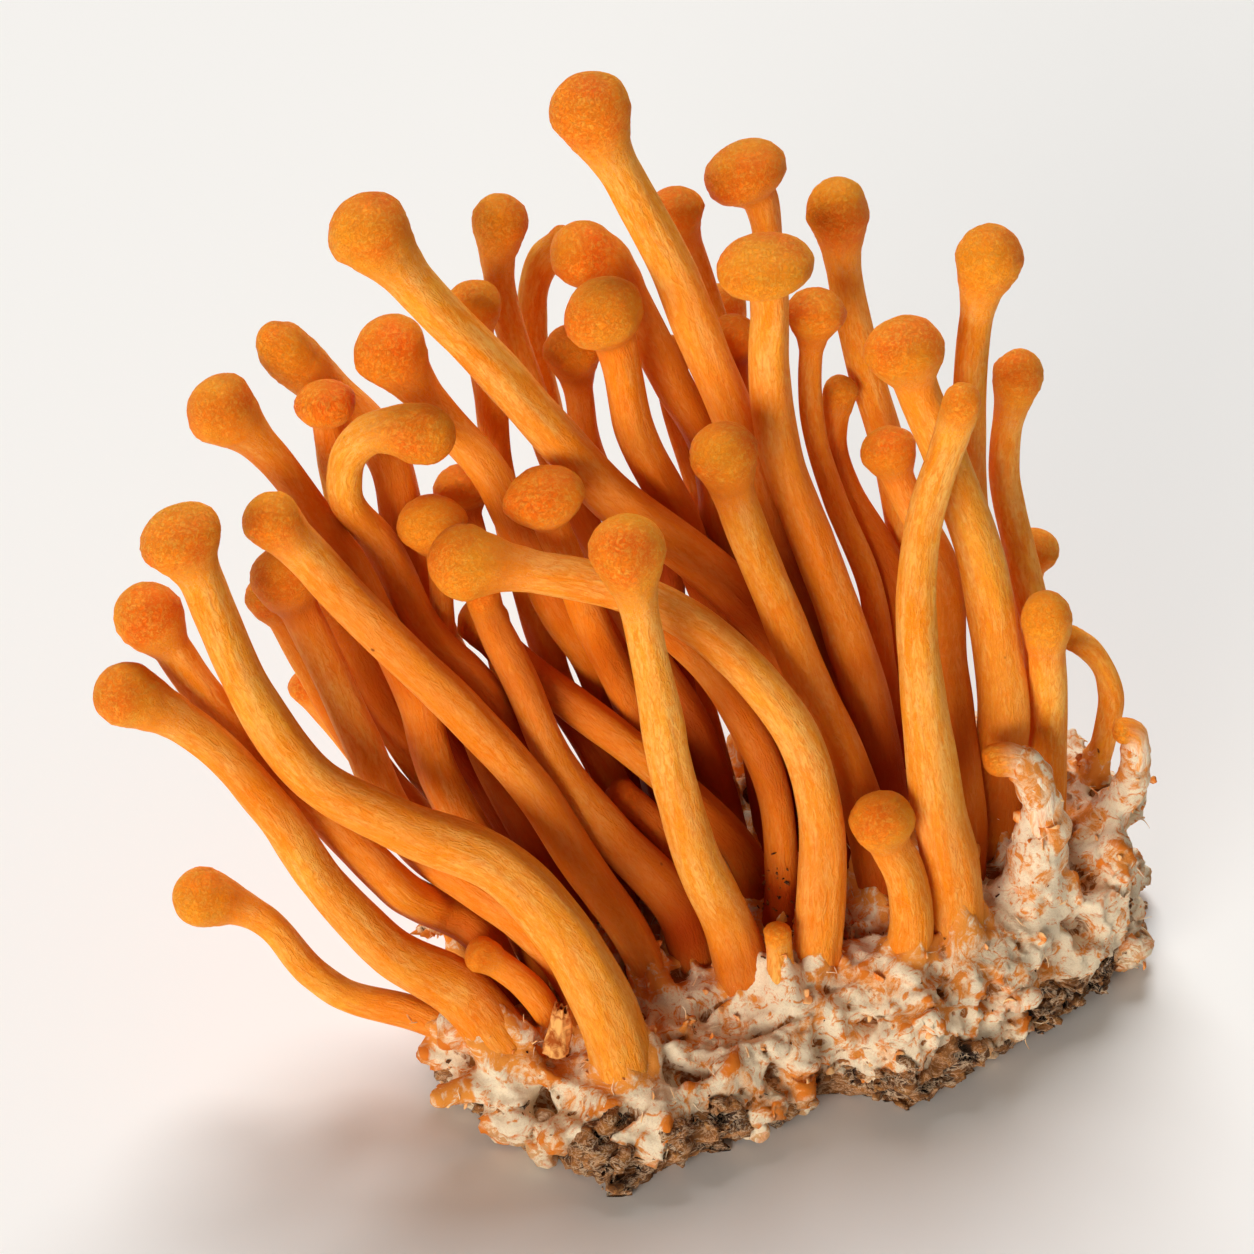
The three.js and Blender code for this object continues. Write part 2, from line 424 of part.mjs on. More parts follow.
// Distances from the foot at which a stalk gets a section: closer together in a bend.
function sectionsOf(stalk, curve, length) {
  const [headLength, headShape] = stalk.head;
  const headStart = length - headLength;
  const distances = [0];
  let heading = curve.getTangentAt(0);
  for (let distance = 1; distance < headStart - 1.5; distance += 0.5) {
    const now = curve.getTangentAt(distance / length);
    if (distance - distances[distances.length - 1] > STEP || heading.angleTo(now) > TURN) {
      distances.push(distance);
      heading = now;
    }
  }
  const shape = HEADS[headShape];
  const [widest] = shape[shape.length - 1];
  shape.forEach(([share]) => distances.push(headStart + share * headLength));
  DOME.forEach((share) => distances.push(headStart + (widest + share * (1 - widest)) * headLength));
  return distances;
}

// A closed loft along the beads; `extra` fattens it and lengthens its foot.
function stalkGeometry(stalk, beads, seed, extra) {
  const curve = new THREE.CatmullRomCurve3(beads.map((bead) => bead.point));
  const length = curve.getLength();
  const distances = sectionsOf(stalk, curve, length);
  const points = [];
  const faces = [];
  const side = new THREE.Vector3(1, 0, 0);
  const other = new THREE.Vector3();
  distances.forEach((distance, ring) => {
    const at = distance / length;
    const middle = curve.getPointAt(at);
    const forward = curve.getTangentAt(at);
    if (ring === 0) {
      middle.addScaledVector(forward, -extra);
    }
    side.addScaledVector(forward, -side.dot(forward)).normalize();
    other.crossVectors(forward, side);
    const radius = radiusAt(stalk, length, distance) + extra;
    const inHead = distance > length - stalk.head[0] ? 0.07 : 0.03;
    const [wider, way] = wideningAt(stalk, length, distance);
    for (let k = 0; k < SIDES; k += 1) {
      const angle = 2 * Math.PI * k / SIDES;
      const lobe = 1 + inHead * Math.cos(2 * angle + seed) * Math.cos(0.9 * seed + ring);
      const corner = middle.clone();
      corner.addScaledVector(side, radius * lobe * Math.cos(angle));
      corner.addScaledVector(other, radius * lobe * Math.sin(angle));
      const across = corner.clone().sub(middle).dot(way);
      corner.addScaledVector(way, across * (wider - 1));
      points.push(...corner.toArray());
    }
  });
  for (let ring = 0; ring < distances.length - 1; ring += 1) {
    for (let k = 0; k < SIDES; k += 1) {
      const a = ring * SIDES + k;
      const b = ring * SIDES + (k + 1) % SIDES;
      faces.push(a, b, b + SIDES, a, b + SIDES, a + SIDES);
    }
  }
  const footMiddle = points.length / 3;
  points.push(...curve.getPointAt(0).addScaledVector(curve.getTangentAt(0), -extra).toArray());
  points.push(...curve.getPointAt(1).addScaledVector(curve.getTangentAt(1), extra).toArray());
  const last = (distances.length - 1) * SIDES;
  for (let k = 0; k < SIDES; k += 1) {
    const next = (k + 1) % SIDES;
    faces.push(footMiddle, next, k);
    faces.push(footMiddle + 1, last + k, last + next);
  }
  return closedGeometry(points, faces);
}

// ---------------------------------------------------------------- joining and cutting

function toSolid(geometry) {
  const bare = geometry.clone();
  bare.deleteAttribute('normal');
  bare.deleteAttribute('uv');
  const merged = mergeVertices(bare);
  return new wasm.Manifold(new wasm.Mesh({
    numProp: 3,
    vertProperties: new Float32Array(merged.attributes.position.array),
    triVerts: new Uint32Array(merged.index.array),
  }));
}

function fromSolid(solid) {
  const mesh = solid.getMesh();
  return closedGeometry(Array.from(mesh.vertProperties), Array.from(mesh.triVerts));
}

// ---------------------------------------------------------------- assembly

function piece(name, geometry, colour, roughness) {
  geometry.computeVertexNormals();
  const material = new THREE.MeshStandardMaterial({ color: colour, roughness, metalness: 0 });
  const mesh = new THREE.Mesh(geometry, material);
  mesh.name = name;
  return mesh;
}

const group = new THREE.Group();
const strings = STALKS.map((stalk) => beadsOf(stalk));
settle(strings);

let mat = toSolid(matGeometry());
STALKS.forEach((stalk, k) => {
  mat = mat.subtract(toSolid(stalkGeometry(stalk, strings[k], k, GAP)));
  group.add(piece(stalk.name, stalkGeometry(stalk, strings[k], k, 0), ORANGE, 0.55));
});
group.add(piece('mycelium_mat', fromSolid(mat), CREAM, 0.9));
group.add(piece('substrate_crust', crustGeometry(), BROWN, 0.6));

export default group;
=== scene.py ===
"""Cordyceps flower bunch: about fifty orange fruiting bodies grown together on one torn
block of white mycelium, with a scrap of dark grain medium left on its underside."""

import math
import random

import bmesh
import bpy
import numpy as np
from mathutils import Matrix, Vector, noise
from mathutils.bvhtree import BVHTree


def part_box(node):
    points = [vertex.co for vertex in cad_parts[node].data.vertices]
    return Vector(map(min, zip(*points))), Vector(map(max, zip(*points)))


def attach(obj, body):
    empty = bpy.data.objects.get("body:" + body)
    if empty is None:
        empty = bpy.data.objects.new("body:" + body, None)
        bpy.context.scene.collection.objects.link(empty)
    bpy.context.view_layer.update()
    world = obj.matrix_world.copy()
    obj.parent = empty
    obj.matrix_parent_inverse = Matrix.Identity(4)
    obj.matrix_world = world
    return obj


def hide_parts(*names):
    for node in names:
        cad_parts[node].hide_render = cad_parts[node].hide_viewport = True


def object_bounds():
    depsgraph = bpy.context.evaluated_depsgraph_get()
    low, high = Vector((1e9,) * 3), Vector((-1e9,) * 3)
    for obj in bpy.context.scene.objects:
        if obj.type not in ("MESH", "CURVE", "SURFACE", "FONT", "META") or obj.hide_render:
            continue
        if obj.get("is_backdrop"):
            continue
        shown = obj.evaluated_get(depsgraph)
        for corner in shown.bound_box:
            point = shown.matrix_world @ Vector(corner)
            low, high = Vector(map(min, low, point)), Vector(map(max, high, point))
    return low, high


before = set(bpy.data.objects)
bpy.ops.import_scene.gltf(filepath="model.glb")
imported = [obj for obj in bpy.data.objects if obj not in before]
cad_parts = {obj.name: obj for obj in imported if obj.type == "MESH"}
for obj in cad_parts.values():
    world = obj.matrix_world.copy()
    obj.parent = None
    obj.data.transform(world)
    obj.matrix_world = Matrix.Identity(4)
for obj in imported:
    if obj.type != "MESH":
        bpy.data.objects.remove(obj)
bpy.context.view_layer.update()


# ---------------------------------------------------------------- fruiting bodies
# Each stalk and its head grew as one club of packed fungal threads, smooth and dry on the
# outside. The stalk is drawn lengthwise with fine fibres, and the head is granular, where
# the spores form. All of them grow out of the mycelium at their feet.

MM = 0.001
STALK_SIDES = 34                 # corners round a stalk
BODY_STEP = 0.42                 # mm between rings on the stalk
HEAD_STEP = 0.26                 # mm between rings on the head
DOME_ROWS = 11                   # rings that close the tip
HEAD_RINGS = 7                   # rings of the solid from the neck to the tip, the tip too
WIDEST_RING = 4                  # the ring of the head's widest place, from the tip
POLE_EDGES = 8                   # edges that meet in the middle of a solid's end
FOOT_BLEND = 7.0                 # mm over which a foot turns into mycelium
PATTERN_SHIFT = 40               # mm between the patterns of one stalk and the next

# How pale and streaky a stalk is, from 0, plain orange, to 1. Above 1 its flesh is cream.
PALENESS = {
    "stalk_great_arc": 0.75, "stalk_long_straight": 0.7, "stalk_under_arc": 0.85,
    "stalk_plain_tip": 0.6, "stalk_front_tall_head": 0.7, "stalk_broad_cap": 0.55,
    "stalk_tall_left": 0.55, "stalk_tall_round": 0.45, "stalk_brown_head": 0.7,
    "stalk_left_great_cap": 0.5, "stalk_left_lowest": 0.5, "stalk_hooked": 0.45,
    "stalk_inner_arc": 0.6, "stalk_right_curl": 1.25, "stalk_edge_curl": 1.1,
    "stalk_edge_arch": 0.35, "bud_front_stub": 0.9, "stalk_long_club": 0.4,
}
USUAL_PALENESS = 0.35
STALK_NODES = sorted(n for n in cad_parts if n.startswith(("stalk_", "bud_")))


def merged_copy(node):
    """A copy of a CAD node's mesh with the corners of its loose triangles joined."""
    shape = bmesh.new()
    shape.from_mesh(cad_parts[node].data)
    bmesh.ops.remove_doubles(shape, verts=shape.verts, dist=0.005 * MM)
    return shape


def rings_of(node):
    """Each ring of a stalk's solid from foot to tip: its middle and radius in mm, and how
    its corners stray from a circle, as nine shares of the radius."""
    shape = merged_copy(node)
    shape.verts.index_update()
    poles = [v for v in shape.verts if len(v.link_edges) == POLE_EDGES]
    ring = [min(poles, key=lambda v: v.co.z)]
    seen = set(ring)
    corners = []
    while ring:
        corners.append(np.array([v.co / MM for v in ring]))
        around = {edge.other_vert(v) for v in ring for edge in v.link_edges}
        ring = sorted(around - seen, key=lambda v: v.index)
        seen.update(ring)
    shape.free()
    middles = np.array([ring.mean(axis=0) for ring in corners])
    headings = np.gradient(middles, axis=0)
    headings /= np.linalg.norm(headings, axis=1)[:, None]
    rings = []
    for ring, middle, heading in zip(corners, middles, headings):
        offsets = ring - middle
        radius = np.linalg.norm(offsets, axis=1).mean()
        stray = np.zeros((3, 3))
        if radius > 0:
            circle = offsets - np.outer(offsets @ heading, heading)
            circle /= np.linalg.norm(circle, axis=1)[:, None]
            stray = (np.linalg.pinv(circle) @ (offsets / radius - circle)).T
        rings.append([*middle, *stray.flat, radius])
    return np.array(rings[1:])


def smooth_through(stations, values, wanted):
    """Values at the wanted distances, on a smooth curve through those at the stations.
    The last column, the radius, never swings past its two neighbours."""
    reach = np.diff(stations)[:, None]
    slope = np.diff(values, axis=0) / reach
    inner = (slope[:-1] * reach[1:] + slope[1:] * reach[:-1]) / (reach[:-1] + reach[1:])
    before, after = slope[:-1, -1], slope[1:, -1]
    same_way = before * after > 0
    summed = np.where(same_way, before + after, 1)
    inner[:, -1] = np.where(same_way, 2 * before * after / summed, 0)
    tangent = np.vstack([slope[:1], inner, slope[-1:]])
    k = np.clip(np.searchsorted(stations, wanted, side="right") - 1, 0, len(reach) - 1)
    t = (wanted - stations[k])[:, None] / reach[k]
    start = (1 + 2 * t) * (1 - t) ** 2 * values[k] + t * (1 - t) ** 2 * reach[k] * tangent[k]
    end = t * t * (3 - 2 * t) * values[k + 1] + t * t * (t - 1) * reach[k] * tangent[k + 1]
    return start + end


def smooth_step(low, high, value):
    """0 below low and 1 above high, with an even change between."""
    share = min(1.0, max(0.0, (value - low) / (high - low)))
    return share * share * (3 - 2 * share)


def rows_of(rings):
    """Rows of a fine stalk: distance from the foot, middle, radius, share of head, how far
    up the head, and how the row strays from a circle."""
    reach = np.linalg.norm(np.diff(rings[:, :3], axis=0), axis=1)
    stations = np.concatenate([[0], np.cumsum(reach)])
    neck, widest, tip = stations[-HEAD_RINGS], stations[-WIDEST_RING], stations[-1]
    body = np.linspace(0, neck, max(6, round(neck / BODY_STEP)), endpoint=False)
    head = np.linspace(neck, widest, max(5, round((widest - neck) / HEAD_STEP)), endpoint=False)
    turns = np.linspace(0, math.pi / 2, DOME_ROWS)
    dome = widest + (tip - widest) * np.sin(turns)
    distances = np.concatenate([body, head, dome])
    values = smooth_through(stations, rings, distances)
    values[len(body) + len(head):, -1] = rings[-WIDEST_RING, -1] * np.cos(turns)
    in_head = [smooth_step(neck - 0.5, widest, d) for d in distances]
    up_head = np.clip((distances - neck) / (tip - neck), 0, 1)
    stray = values[:, 3:12].reshape(-1, 3, 3) * (1 - 0.35 * up_head[:, None, None] ** 6)
    return distances, values[:, :3], values[:, -1], in_head, up_head, stray


def skin_relief(at, radius, in_head, foot):
    """How far the skin stands out at a point of a stalk, in mm: swellings, lengthwise
    folds that deepen towards the foot, and the grains of the head."""
    swelling = 0.1 * radius * noise.noise(Vector((at.x * 0.3, at.y * 0.3, at.z * 0.16)))
    folds = noise.noise(Vector((at.x * 1.1, at.y * 1.1, at.z * 0.09)))
    fibres = noise.noise(Vector((at.x * 3.4, at.y * 3.4, at.z * 0.3)))
    grains = noise.noise(at * 0.6) * 0.14 + noise.noise(at * 1.5) * 0.07
    grains += noise.noise(at * 3.2) * 0.055
    lengthwise = (0.15 + 0.16 * foot) * folds + (0.05 + 0.04 * foot) * fibres
    return swelling + lengthwise * (1 - in_head) + grains * in_head


# rays that find how much of the sky other stalks hide round each row, for the painted shade in the
# skin's colour
SKY_RAYS = 26
SKY_EDGE = -0.15                 # sine of the lowest ray's height, a little under the horizon
SKY_SPREAD = 1.1                 # from there to the highest
SKY_REACH = 22.0                 # mm, how far off another stalk still shades one
GOLDEN_TURN = 2.4                # radians from one ray to the next, which spreads them evenly
SHADE_ROWS = 9                   # rows of a stalk over which its shade is evened out


def whole_bunch():
    """A tree of all the stalks' faces, to find what shades a place."""
    corners, faces = [], []
    for node in STALK_NODES:
        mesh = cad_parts[node].data
        faces += [[len(corners) + k for k in face.vertices] for face in mesh.polygons]
        corners += [v.co.copy() for v in mesh.vertices]
    return BVHTree.FromPolygons(corners, faces)


def sky_ways():
    """Even directions over the upper half of the sky and a little below its edge."""
    ways = []
    for k in range(SKY_RAYS):
        up = SKY_EDGE + SKY_SPREAD * (k + 0.5) / SKY_RAYS
        turn = GOLDEN_TURN * k
        level = math.sqrt(max(0, 1 - up * up))
        ways.append(Vector((level * math.cos(turn), level * math.sin(turn), up)))
    return ways


def shelter_along(middles, radii):
    """Share of the sky that other stalks hide, at each row of a stalk, which sets how much painted
    shade the skin gets there.
    """
    shares = []
    for middle, radius in zip(middles, radii):
        hidden = 0
        for way in SKY_WAYS:
            start = (Vector(middle) + way * (radius + 0.5)) * MM
            hidden += BUNCH.ray_cast(start, way, SKY_REACH * MM)[0] is not None
        shares.append(hidden / SKY_RAYS)
    padded = np.pad(shares, SHADE_ROWS // 2, mode="edge")
    return np.convolve(padded, np.ones(SHADE_ROWS) / SHADE_ROWS, "valid")


# What each place on a skin knows of itself, from 0 to 1. The last, the share of sky that other
# stalks hide, sets the painted shade.
SHARES = ("head_share", "head_height", "foot_share", "own_tone", "sheltered")


def grown_stalk(node, seed):
    """A fine closed skin over a stalk's solid, with its own coordinates for patterns."""
    distances, middles, radii, in_head, up_head, stray = rows_of(rings_of(node))
    rows = len(distances) - 1
    tone = random.Random(seed).uniform(0, 1)
    shelter = shelter_along(middles, radii)
    shape = bmesh.new()
    bmesh.ops.create_grid(shape, x_segments=STALK_SIDES, y_segments=rows, size=0.5)
    grown = shape.verts.layers.float_vector.new("grown")
    share_layers = [shape.verts.layers.float.new(name) for name in SHARES]
    forward = np.gradient(middles, axis=0)
    sides = []
    side = Vector((1, 0.2, 0))
    for heading in forward:
        ahead = Vector(heading).normalized()
        side = (side - side.dot(ahead) * ahead).normalized()
        sides.append((side.copy(), ahead.cross(side)))
    shift = Vector((0, 0, PATTERN_SHIFT * seed))
    for v in shape.verts:
        row = round((v.co.y + 0.5) * rows)
        turn = math.tau * (v.co.x + 0.5)
        side, other = sides[row]
        radius = radii[row]
        foot = 1 - smooth_step(0, FOOT_BLEND, distances[row])
        flat = Vector((radius * math.cos(turn), radius * math.sin(turn), distances[row]))
        relief = skin_relief(flat + shift, radius, in_head[row], foot)
        relief *= min(1.0, radius)
        out = math.cos(turn) * side + math.sin(turn) * other
        out += Matrix(stray[row]) @ out
        v.co = (Vector(middles[row]) + out * (radius + relief)) * MM
        v[grown] = flat + shift
        shares = in_head[row], up_head[row], foot, tone, shelter[row]
        for layer, share in zip(share_layers, shares):
            v[layer] = share
    bmesh.ops.remove_doubles(shape, verts=shape.verts, dist=0.004 * MM)
    bmesh.ops.holes_fill(shape, edges=[e for e in shape.edges if e.is_boundary])
    bmesh.ops.recalc_face_normals(shape, faces=shape.faces)
    return shape


def finished(shape, name, material, nodes=()):
    """Makes the shape a smooth-shaded piece of the bunch that stands for its CAD nodes."""
    mesh = bpy.data.meshes.new(name)
    shape.to_mesh(mesh)
    shape.free()
    mesh.polygons.foreach_set("use_smooth", [True] * len(mesh.polygons))
    mesh.materials.append(material)
    piece = bpy.data.objects.new(name, mesh)
    bpy.context.scene.collection.objects.link(piece)
    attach(piece, "root")
    if nodes:
        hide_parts(*nodes)


def linear(hex_colour):
    """An sRGB hex colour as the linear red, green, blue and alpha of a shader socket."""
    parts = [int(hex_colour[k:k + 2], 16) / 255 for k in (1, 3, 5)]
    red, green, blue = (p / 12.92 if p <= 0.04045 else ((p + 0.055) / 1.055) ** 2.4 for p in parts)
    return red, green, blue, 1


def grey(brightness):
    """A grey for a shader socket, from 0, black, to 1, white."""
    return brightness, brightness, brightness, 1


def set_inputs(owner, node, **inputs):
    """Gives each named socket of a node, with spaces as underscores, a value or an output to
    link, or a list of them where sockets share a name."""
    for key, value in inputs.items():
        sockets = [s for s in node.inputs if s.name == key.replace("_", " ") and s.enabled]
        for socket, given in zip(sockets, value if isinstance(value, list) else [value]):
            if isinstance(given, bpy.types.NodeSocket):
                owner.node_tree.links.new(given, socket)
            else:
                socket.default_value = given


def add_node(material, kind, settings=None, output=None, **inputs):
    """Adds a node with its own settings and its inputs, as set_inputs takes them, and gives
    its output of that name, or else its first."""
    node = material.node_tree.nodes.new("ShaderNode" + kind)
    for key, value in (settings or {}).items():
        if key == "stops":
            while len(node.color_ramp.elements) < len(value):
                node.color_ramp.elements.new(0.5)
            for element, (place, colour) in zip(node.color_ramp.elements, value):
                element.position = place
                element.color = colour
        else:
            setattr(node, key, value)
    set_inputs(material, node, **inputs)
    return next(s for s in node.outputs if s.enabled and output in (None, s.name))


def new_material(name):
    """A new material and its surface shader."""
    material = bpy.data.materials.new(name)
    material.use_nodes = True
    return material, material.node_tree.nodes["Principled BSDF"]


BLACK = grey(0)
WHITE = grey(1)
MIX = {"data_type": "RGBA"}      # settings of a mix of two colours, A and B


def ramp(low, high):
    """Settings of a ramp that is black up to low and white from high on."""
    return {"stops": [(low, BLACK), (high, WHITE)]}


def falling_ramp(low, high):
    """Settings of a ramp that is white up to low and black from high on."""
    return {"stops": [(low, WHITE), (high, BLACK)]}


# Fungal skin: dry, soft tissue of packed threads that light enters a little way. It gives
# the eye a warm orange, paler streaks along the stalk, a red-orange grain on the head, and
# no hard gloss. Deep in the bunch it carries painted shade, a fuller orange and deep red.
def fungal_skin(name, paleness):
    material, shader = new_material(name)
    pale_flesh = paleness > 1
    grown = add_node(material, "Attribute", {"attribute_name": "grown"}, output="Vector")
    head, height, foot, tone, sky_hidden = (
        add_node(material, "Attribute", {"attribute_name": share}, output="Fac")
        for share in SHARES)

    # crinkled fibres a quarter of a millimetre apart and a millimetre long
    crinkled = add_node(material, "Mapping", Vector=grown, Scale=(3.6, 3.6, 1.0))
    fibres = add_node(material, "TexNoise", Vector=crinkled, Scale=1.0, Detail=4, Roughness=0.62,
                      Distortion=1.1)
    # long streaks a millimetre wide, where the pale inner threads show
    drawn = add_node(material, "Mapping", Vector=grown, Scale=(1.3, 1.3, 0.2))
    streaks = add_node(material, "TexNoise", Vector=drawn, Scale=1.0, Detail=5, Roughness=0.6,
                       Distortion=0.6)
    patches = add_node(material, "TexNoise", Vector=grown, Scale=0.2, Detail=3, Roughness=0.55)
    grains = add_node(material, "TexNoise", Vector=grown, Scale=3.4, Detail=4, Roughness=0.68,
                      Distortion=0.8)

    # pale curly threads that lie loose on the skin, most of them under the head
    curls = add_node(material, "TexNoise", Vector=grown, Scale=1.5, Detail=4, Roughness=0.6,
                     Distortion=3.2)
    curl_band = {"stops": [(0.46, BLACK), (0.5, WHITE), (0.54, BLACK)]}
    curl_share = add_node(material, "ValToRGB", curl_band, Fac=curls)

    # the stalk: deep to yellow orange, its pale threads broken up by the fibres
    stalk_tone = add_node(material, "Mix", MIX, Factor=tone, A=linear("#F88C08"),
                          B=linear("#FC9E18"))
    patch_share = add_node(material, "ValToRGB", ramp(0.36, 0.64), Fac=patches)
    stalk = add_node(material, "Mix", MIX, Factor=patch_share, A=stalk_tone, B=linear("#FCAB32"))
    pale_sum = add_node(material, "Math", {"operation": "MULTIPLY_ADD"},
                        Value=[fibres, 0.5, streaks])
    start = 0.93 - 0.2 * paleness
    pale_share = add_node(material, "ValToRGB", ramp(start - 0.16, start + 0.1), Fac=pale_sum)
    pale_thread = linear("#FBE9CB" if pale_flesh else "#FEB95A")
    stalk = add_node(material, "Mix", MIX, Factor=pale_share, A=stalk, B=pale_thread)
    fibre_share = add_node(material, "ValToRGB", ramp(0.34, 0.62), Fac=fibres)
    between_fibres = add_node(material, "Mix", MIX, Factor=0.5, A=stalk, B=linear("#E67006"))
    stalk = add_node(material, "Mix", MIX, Factor=fibre_share, A=between_fibres, B=stalk)

    # the head: grains on a red-orange blush that comes and goes over yellow orange
    belt = add_node(material, "ValToRGB", ramp(0.12, 0.5), Fac=height)
    blush = add_node(material, "TexNoise", Vector=grown, Scale=0.2, Detail=3, Roughness=0.5,
                     Distortion=0.2)
    red_noise = add_node(material, "ValToRGB", ramp(0.38, 0.68), Fac=blush)
    red_share = add_node(material, "Mix", MIX, Factor=belt, A=BLACK, B=red_noise)
    head_colour = add_node(material, "Mix", MIX, Factor=red_share, A=linear("#FF961A"),
                           B=linear("#F86E0A"))
    grain_share = add_node(material, "ValToRGB", ramp(0.47, 0.62), Fac=grains)
    grain_part = add_node(material, "Mix", MIX, Factor=grain_share, A=BLACK, B=linear("#BEBEBE"))
    head_colour = add_node(material, "Mix", MIX, Factor=grain_part, A=head_colour,
                           B=linear("#FFB848"))
    skin = add_node(material, "Mix", MIX, Factor=head, A=stalk, B=head_colour)
    neck_most = {"stops": [(0.0, grey(0.16)), (0.12, grey(0.5)), (0.5, grey(0.06))]}
    loose_share = add_node(material, "ValToRGB", neck_most, Fac=height)
    loose_part = add_node(material, "Mix", MIX, Factor=curl_share, A=BLACK, B=loose_share)
    skin = add_node(material, "Mix", MIX, Factor=loose_part, A=skin, B=linear("#FDC988"))

    # painted shade: where other stalks hide the sky, the skin is painted a fuller orange, and deep
    # red where they hide the most
    painted_shade_share = add_node(material, "ValToRGB", ramp(0.5, 0.78), Fac=sky_hidden)
    painted_shade_part = add_node(material, "Mix", MIX, Factor=painted_shade_share, A=BLACK,
                           B=linear("#D0D0D0"))
    skin = add_node(material, "Mix", MIX, Factor=painted_shade_part, A=skin, B=linear("#EA720C"))
    deep_painted_shade_share = add_node(material, "ValToRGB", ramp(0.74, 0.93), Fac=sky_hidden)
    skin = add_node(material, "Mix", MIX, Factor=deep_painted_shade_share, A=skin, B=linear("#B24004"))

    # the foot goes over into white threads in tongues that run up the stalk
    tongues = add_node(material, "Math", {"operation": "MULTIPLY_ADD"},
                       Value=[streaks, 1.1, foot])
    foot_share = add_node(material, "ValToRGB", ramp(1.0, 1.38), Fac=tongues)
    skin = add_node(material, "Mix", MIX, Factor=foot_share, A=skin, B=linear("#F8E2BE"))

    # brown specks where a thread has died back
    specks = add_node(material, "TexVoronoi", Vector=grown, Scale=0.2, Randomness=1.0)
    speck_share = add_node(material, "ValToRGB", falling_ramp(0.016, 0.04), Fac=specks)
    skin = add_node(material, "Mix", MIX, Factor=speck_share, A=skin, B=linear("#9A4A10"))

    head_relief = add_node(material, "Mix", MIX, Factor=0.25, A=grains, B=curl_share)
    relief = add_node(material, "Mix", MIX, Factor=head, A=fibres, B=head_relief)
    bump = add_node(material, "Bump", Strength=0.95, Distance=0.19 * MM, Height=relief)
    set_inputs(material, shader, Base_Color=skin, Normal=bump, Roughness=0.58, IOR=1.42,
               Specular_IOR_Level=0.12, Subsurface_Weight=0.12 if pale_flesh else 0.35,
               Subsurface_Radius=(1.0, 0.7 if pale_flesh else 0.36, 0.1),
               Subsurface_Scale=0.7 * MM, Sheen_Weight=0.03, Sheen_Roughness=0.4,
               Sheen_Tint=linear("#FFC070"))
    return material


BUNCH = whole_bunch()
SKY_WAYS = sky_ways()
skins = {}
for seed, node in enumerate(STALK_NODES):
    paleness = PALENESS.get(node, USUAL_PALENESS)
    if paleness not in skins:
        skins[paleness] = fungal_skin(f"fungal_skin_{round(100 * paleness)}", paleness)
    finished(grown_stalk(node, seed), "grown_" + node, skins[paleness], [node])


# ---------------------------------------------------------------- mycelium
# The felt of white threads that all the stalks grew from, torn off its tray. It climbs a
# little way up each foot, is stained orange where stalks begin, and is pitted and ragged.

FELT_VOXEL = 0.3                 # mm, the finest lump of the felt's own surface
FELT_GAP = 0.35                  # mm, how far above the table the felt ends
FOLDS = 150                      # torn folds of felt
HANGING = (1.7, 3.8)             # mm, how high the felt hangs over the block's edge
TONGUES = 4                      # webs of felt that climb each foot
TONGUE_HEIGHT = (3.4, 7.4)       # mm, how far up the stalk they start
BUTTRESSES = 3                   # webs that run out and down from each foot
SADDLE_REACH = 8.5               # mm, how far apart two feet still share a web
SADDLE_SHARE = 0.8               # share of such pairs that have one
FOOT_LENGTH = 5.5                # mm up a stalk, where its way and radius are taken
CLIMB = 9                        # mm up a stalk, within which felt is near it
NEAR_STALK = 2.8                 # mm round a stalk, within which felt is smooth and orange
NEAR_COAT = 1.6                  # mm off a coat, within which felt is smooth
RIM_HEIGHT = 4.5                 # mm, how high the torn rim reaches
RIDGE_ROUNDS = 6                 # rounds of smoothing that a ridge or pit stands out from
GRAIN_PLACES = [                 # mm, where the felt tore off the grain at the block's edge
    (-15.5, -21.5), (-11.5, -22.5), (-7.5, -19.5), (9.5, -13), (13.5, -10), (20.5, -3.5),
    (24.5, 0.5), (27.5, 9), (18, 21.5), (6, 20.5), (-9, 12.5), (-22, 0.5), (-26, -7.5),
]
GRAIN_REACH = 2.6                # mm round such a place
COATED = {                       # coated share of a stalk's length, and mm of felt round it
    "stalk_right_curl": (0.66, 1.0), "stalk_edge_curl": (0.6, 0.5),
    "bud_front_stub": (0.35, 0.7),
}
FINGER = (Vector((-22.5, -15.5, 5.0)), Vector((-26.6, -17.0, 4.6)))
FINGER_RADII = (1.5, 0.7)        # mm, a bud still in the felt at the low end of the block
dice = random.Random(11)
noise.seed_set(1795373625)     # or else the noise that bends the creases starts from the clock


def foot_lines():
    """For each stalk: its foot's middle, the way it grows there, and its radius, in mm."""
    lines = []
    for node in STALK_NODES:
        distances, middles, radii, *_ = rows_of(rings_of(node))
        out = next(k for k, d in enumerate(distances) if d > FOOT_LENGTH)
        grows = Vector(middles[out] - middles[0]).normalized()
        lines.append((Vector(middles[0]), grows, float(radii[0]), float(radii[out])))
    return lines


def voxel_skin(shape, voxel):
    """One closed skin round everything in the shape, with even faces of that size in mm."""
    mesh = bpy.data.meshes.new("loose")
    shape.to_mesh(mesh)
    shape.free()
    loose = bpy.data.objects.new("loose", mesh)
    bpy.context.scene.collection.objects.link(loose)
    remesh = loose.modifiers.new("remesh", "REMESH")
    remesh.mode = "VOXEL"
    remesh.voxel_size = voxel * MM
    evaluated = loose.evaluated_get(bpy.context.evaluated_depsgraph_get())
    skin = bmesh.new()
    skin.from_mesh(evaluated.to_mesh())
    bpy.data.objects.remove(loose)
    bpy.data.meshes.remove(mesh)
    return skin


def put_ball(shape, middle, radii, ahead=Vector((0, 0, 1))):
    """Adds a ball to the shape, its three radii in mm, the last of them along ahead."""
    turned = ahead.to_track_quat("Z", "Y").to_matrix().to_4x4()
    place = Matrix.Translation(middle * MM) @ turned @ Matrix.Diagonal((*radii, 1))
    bmesh.ops.create_icosphere(shape, subdivisions=2, radius=MM, matrix=place)


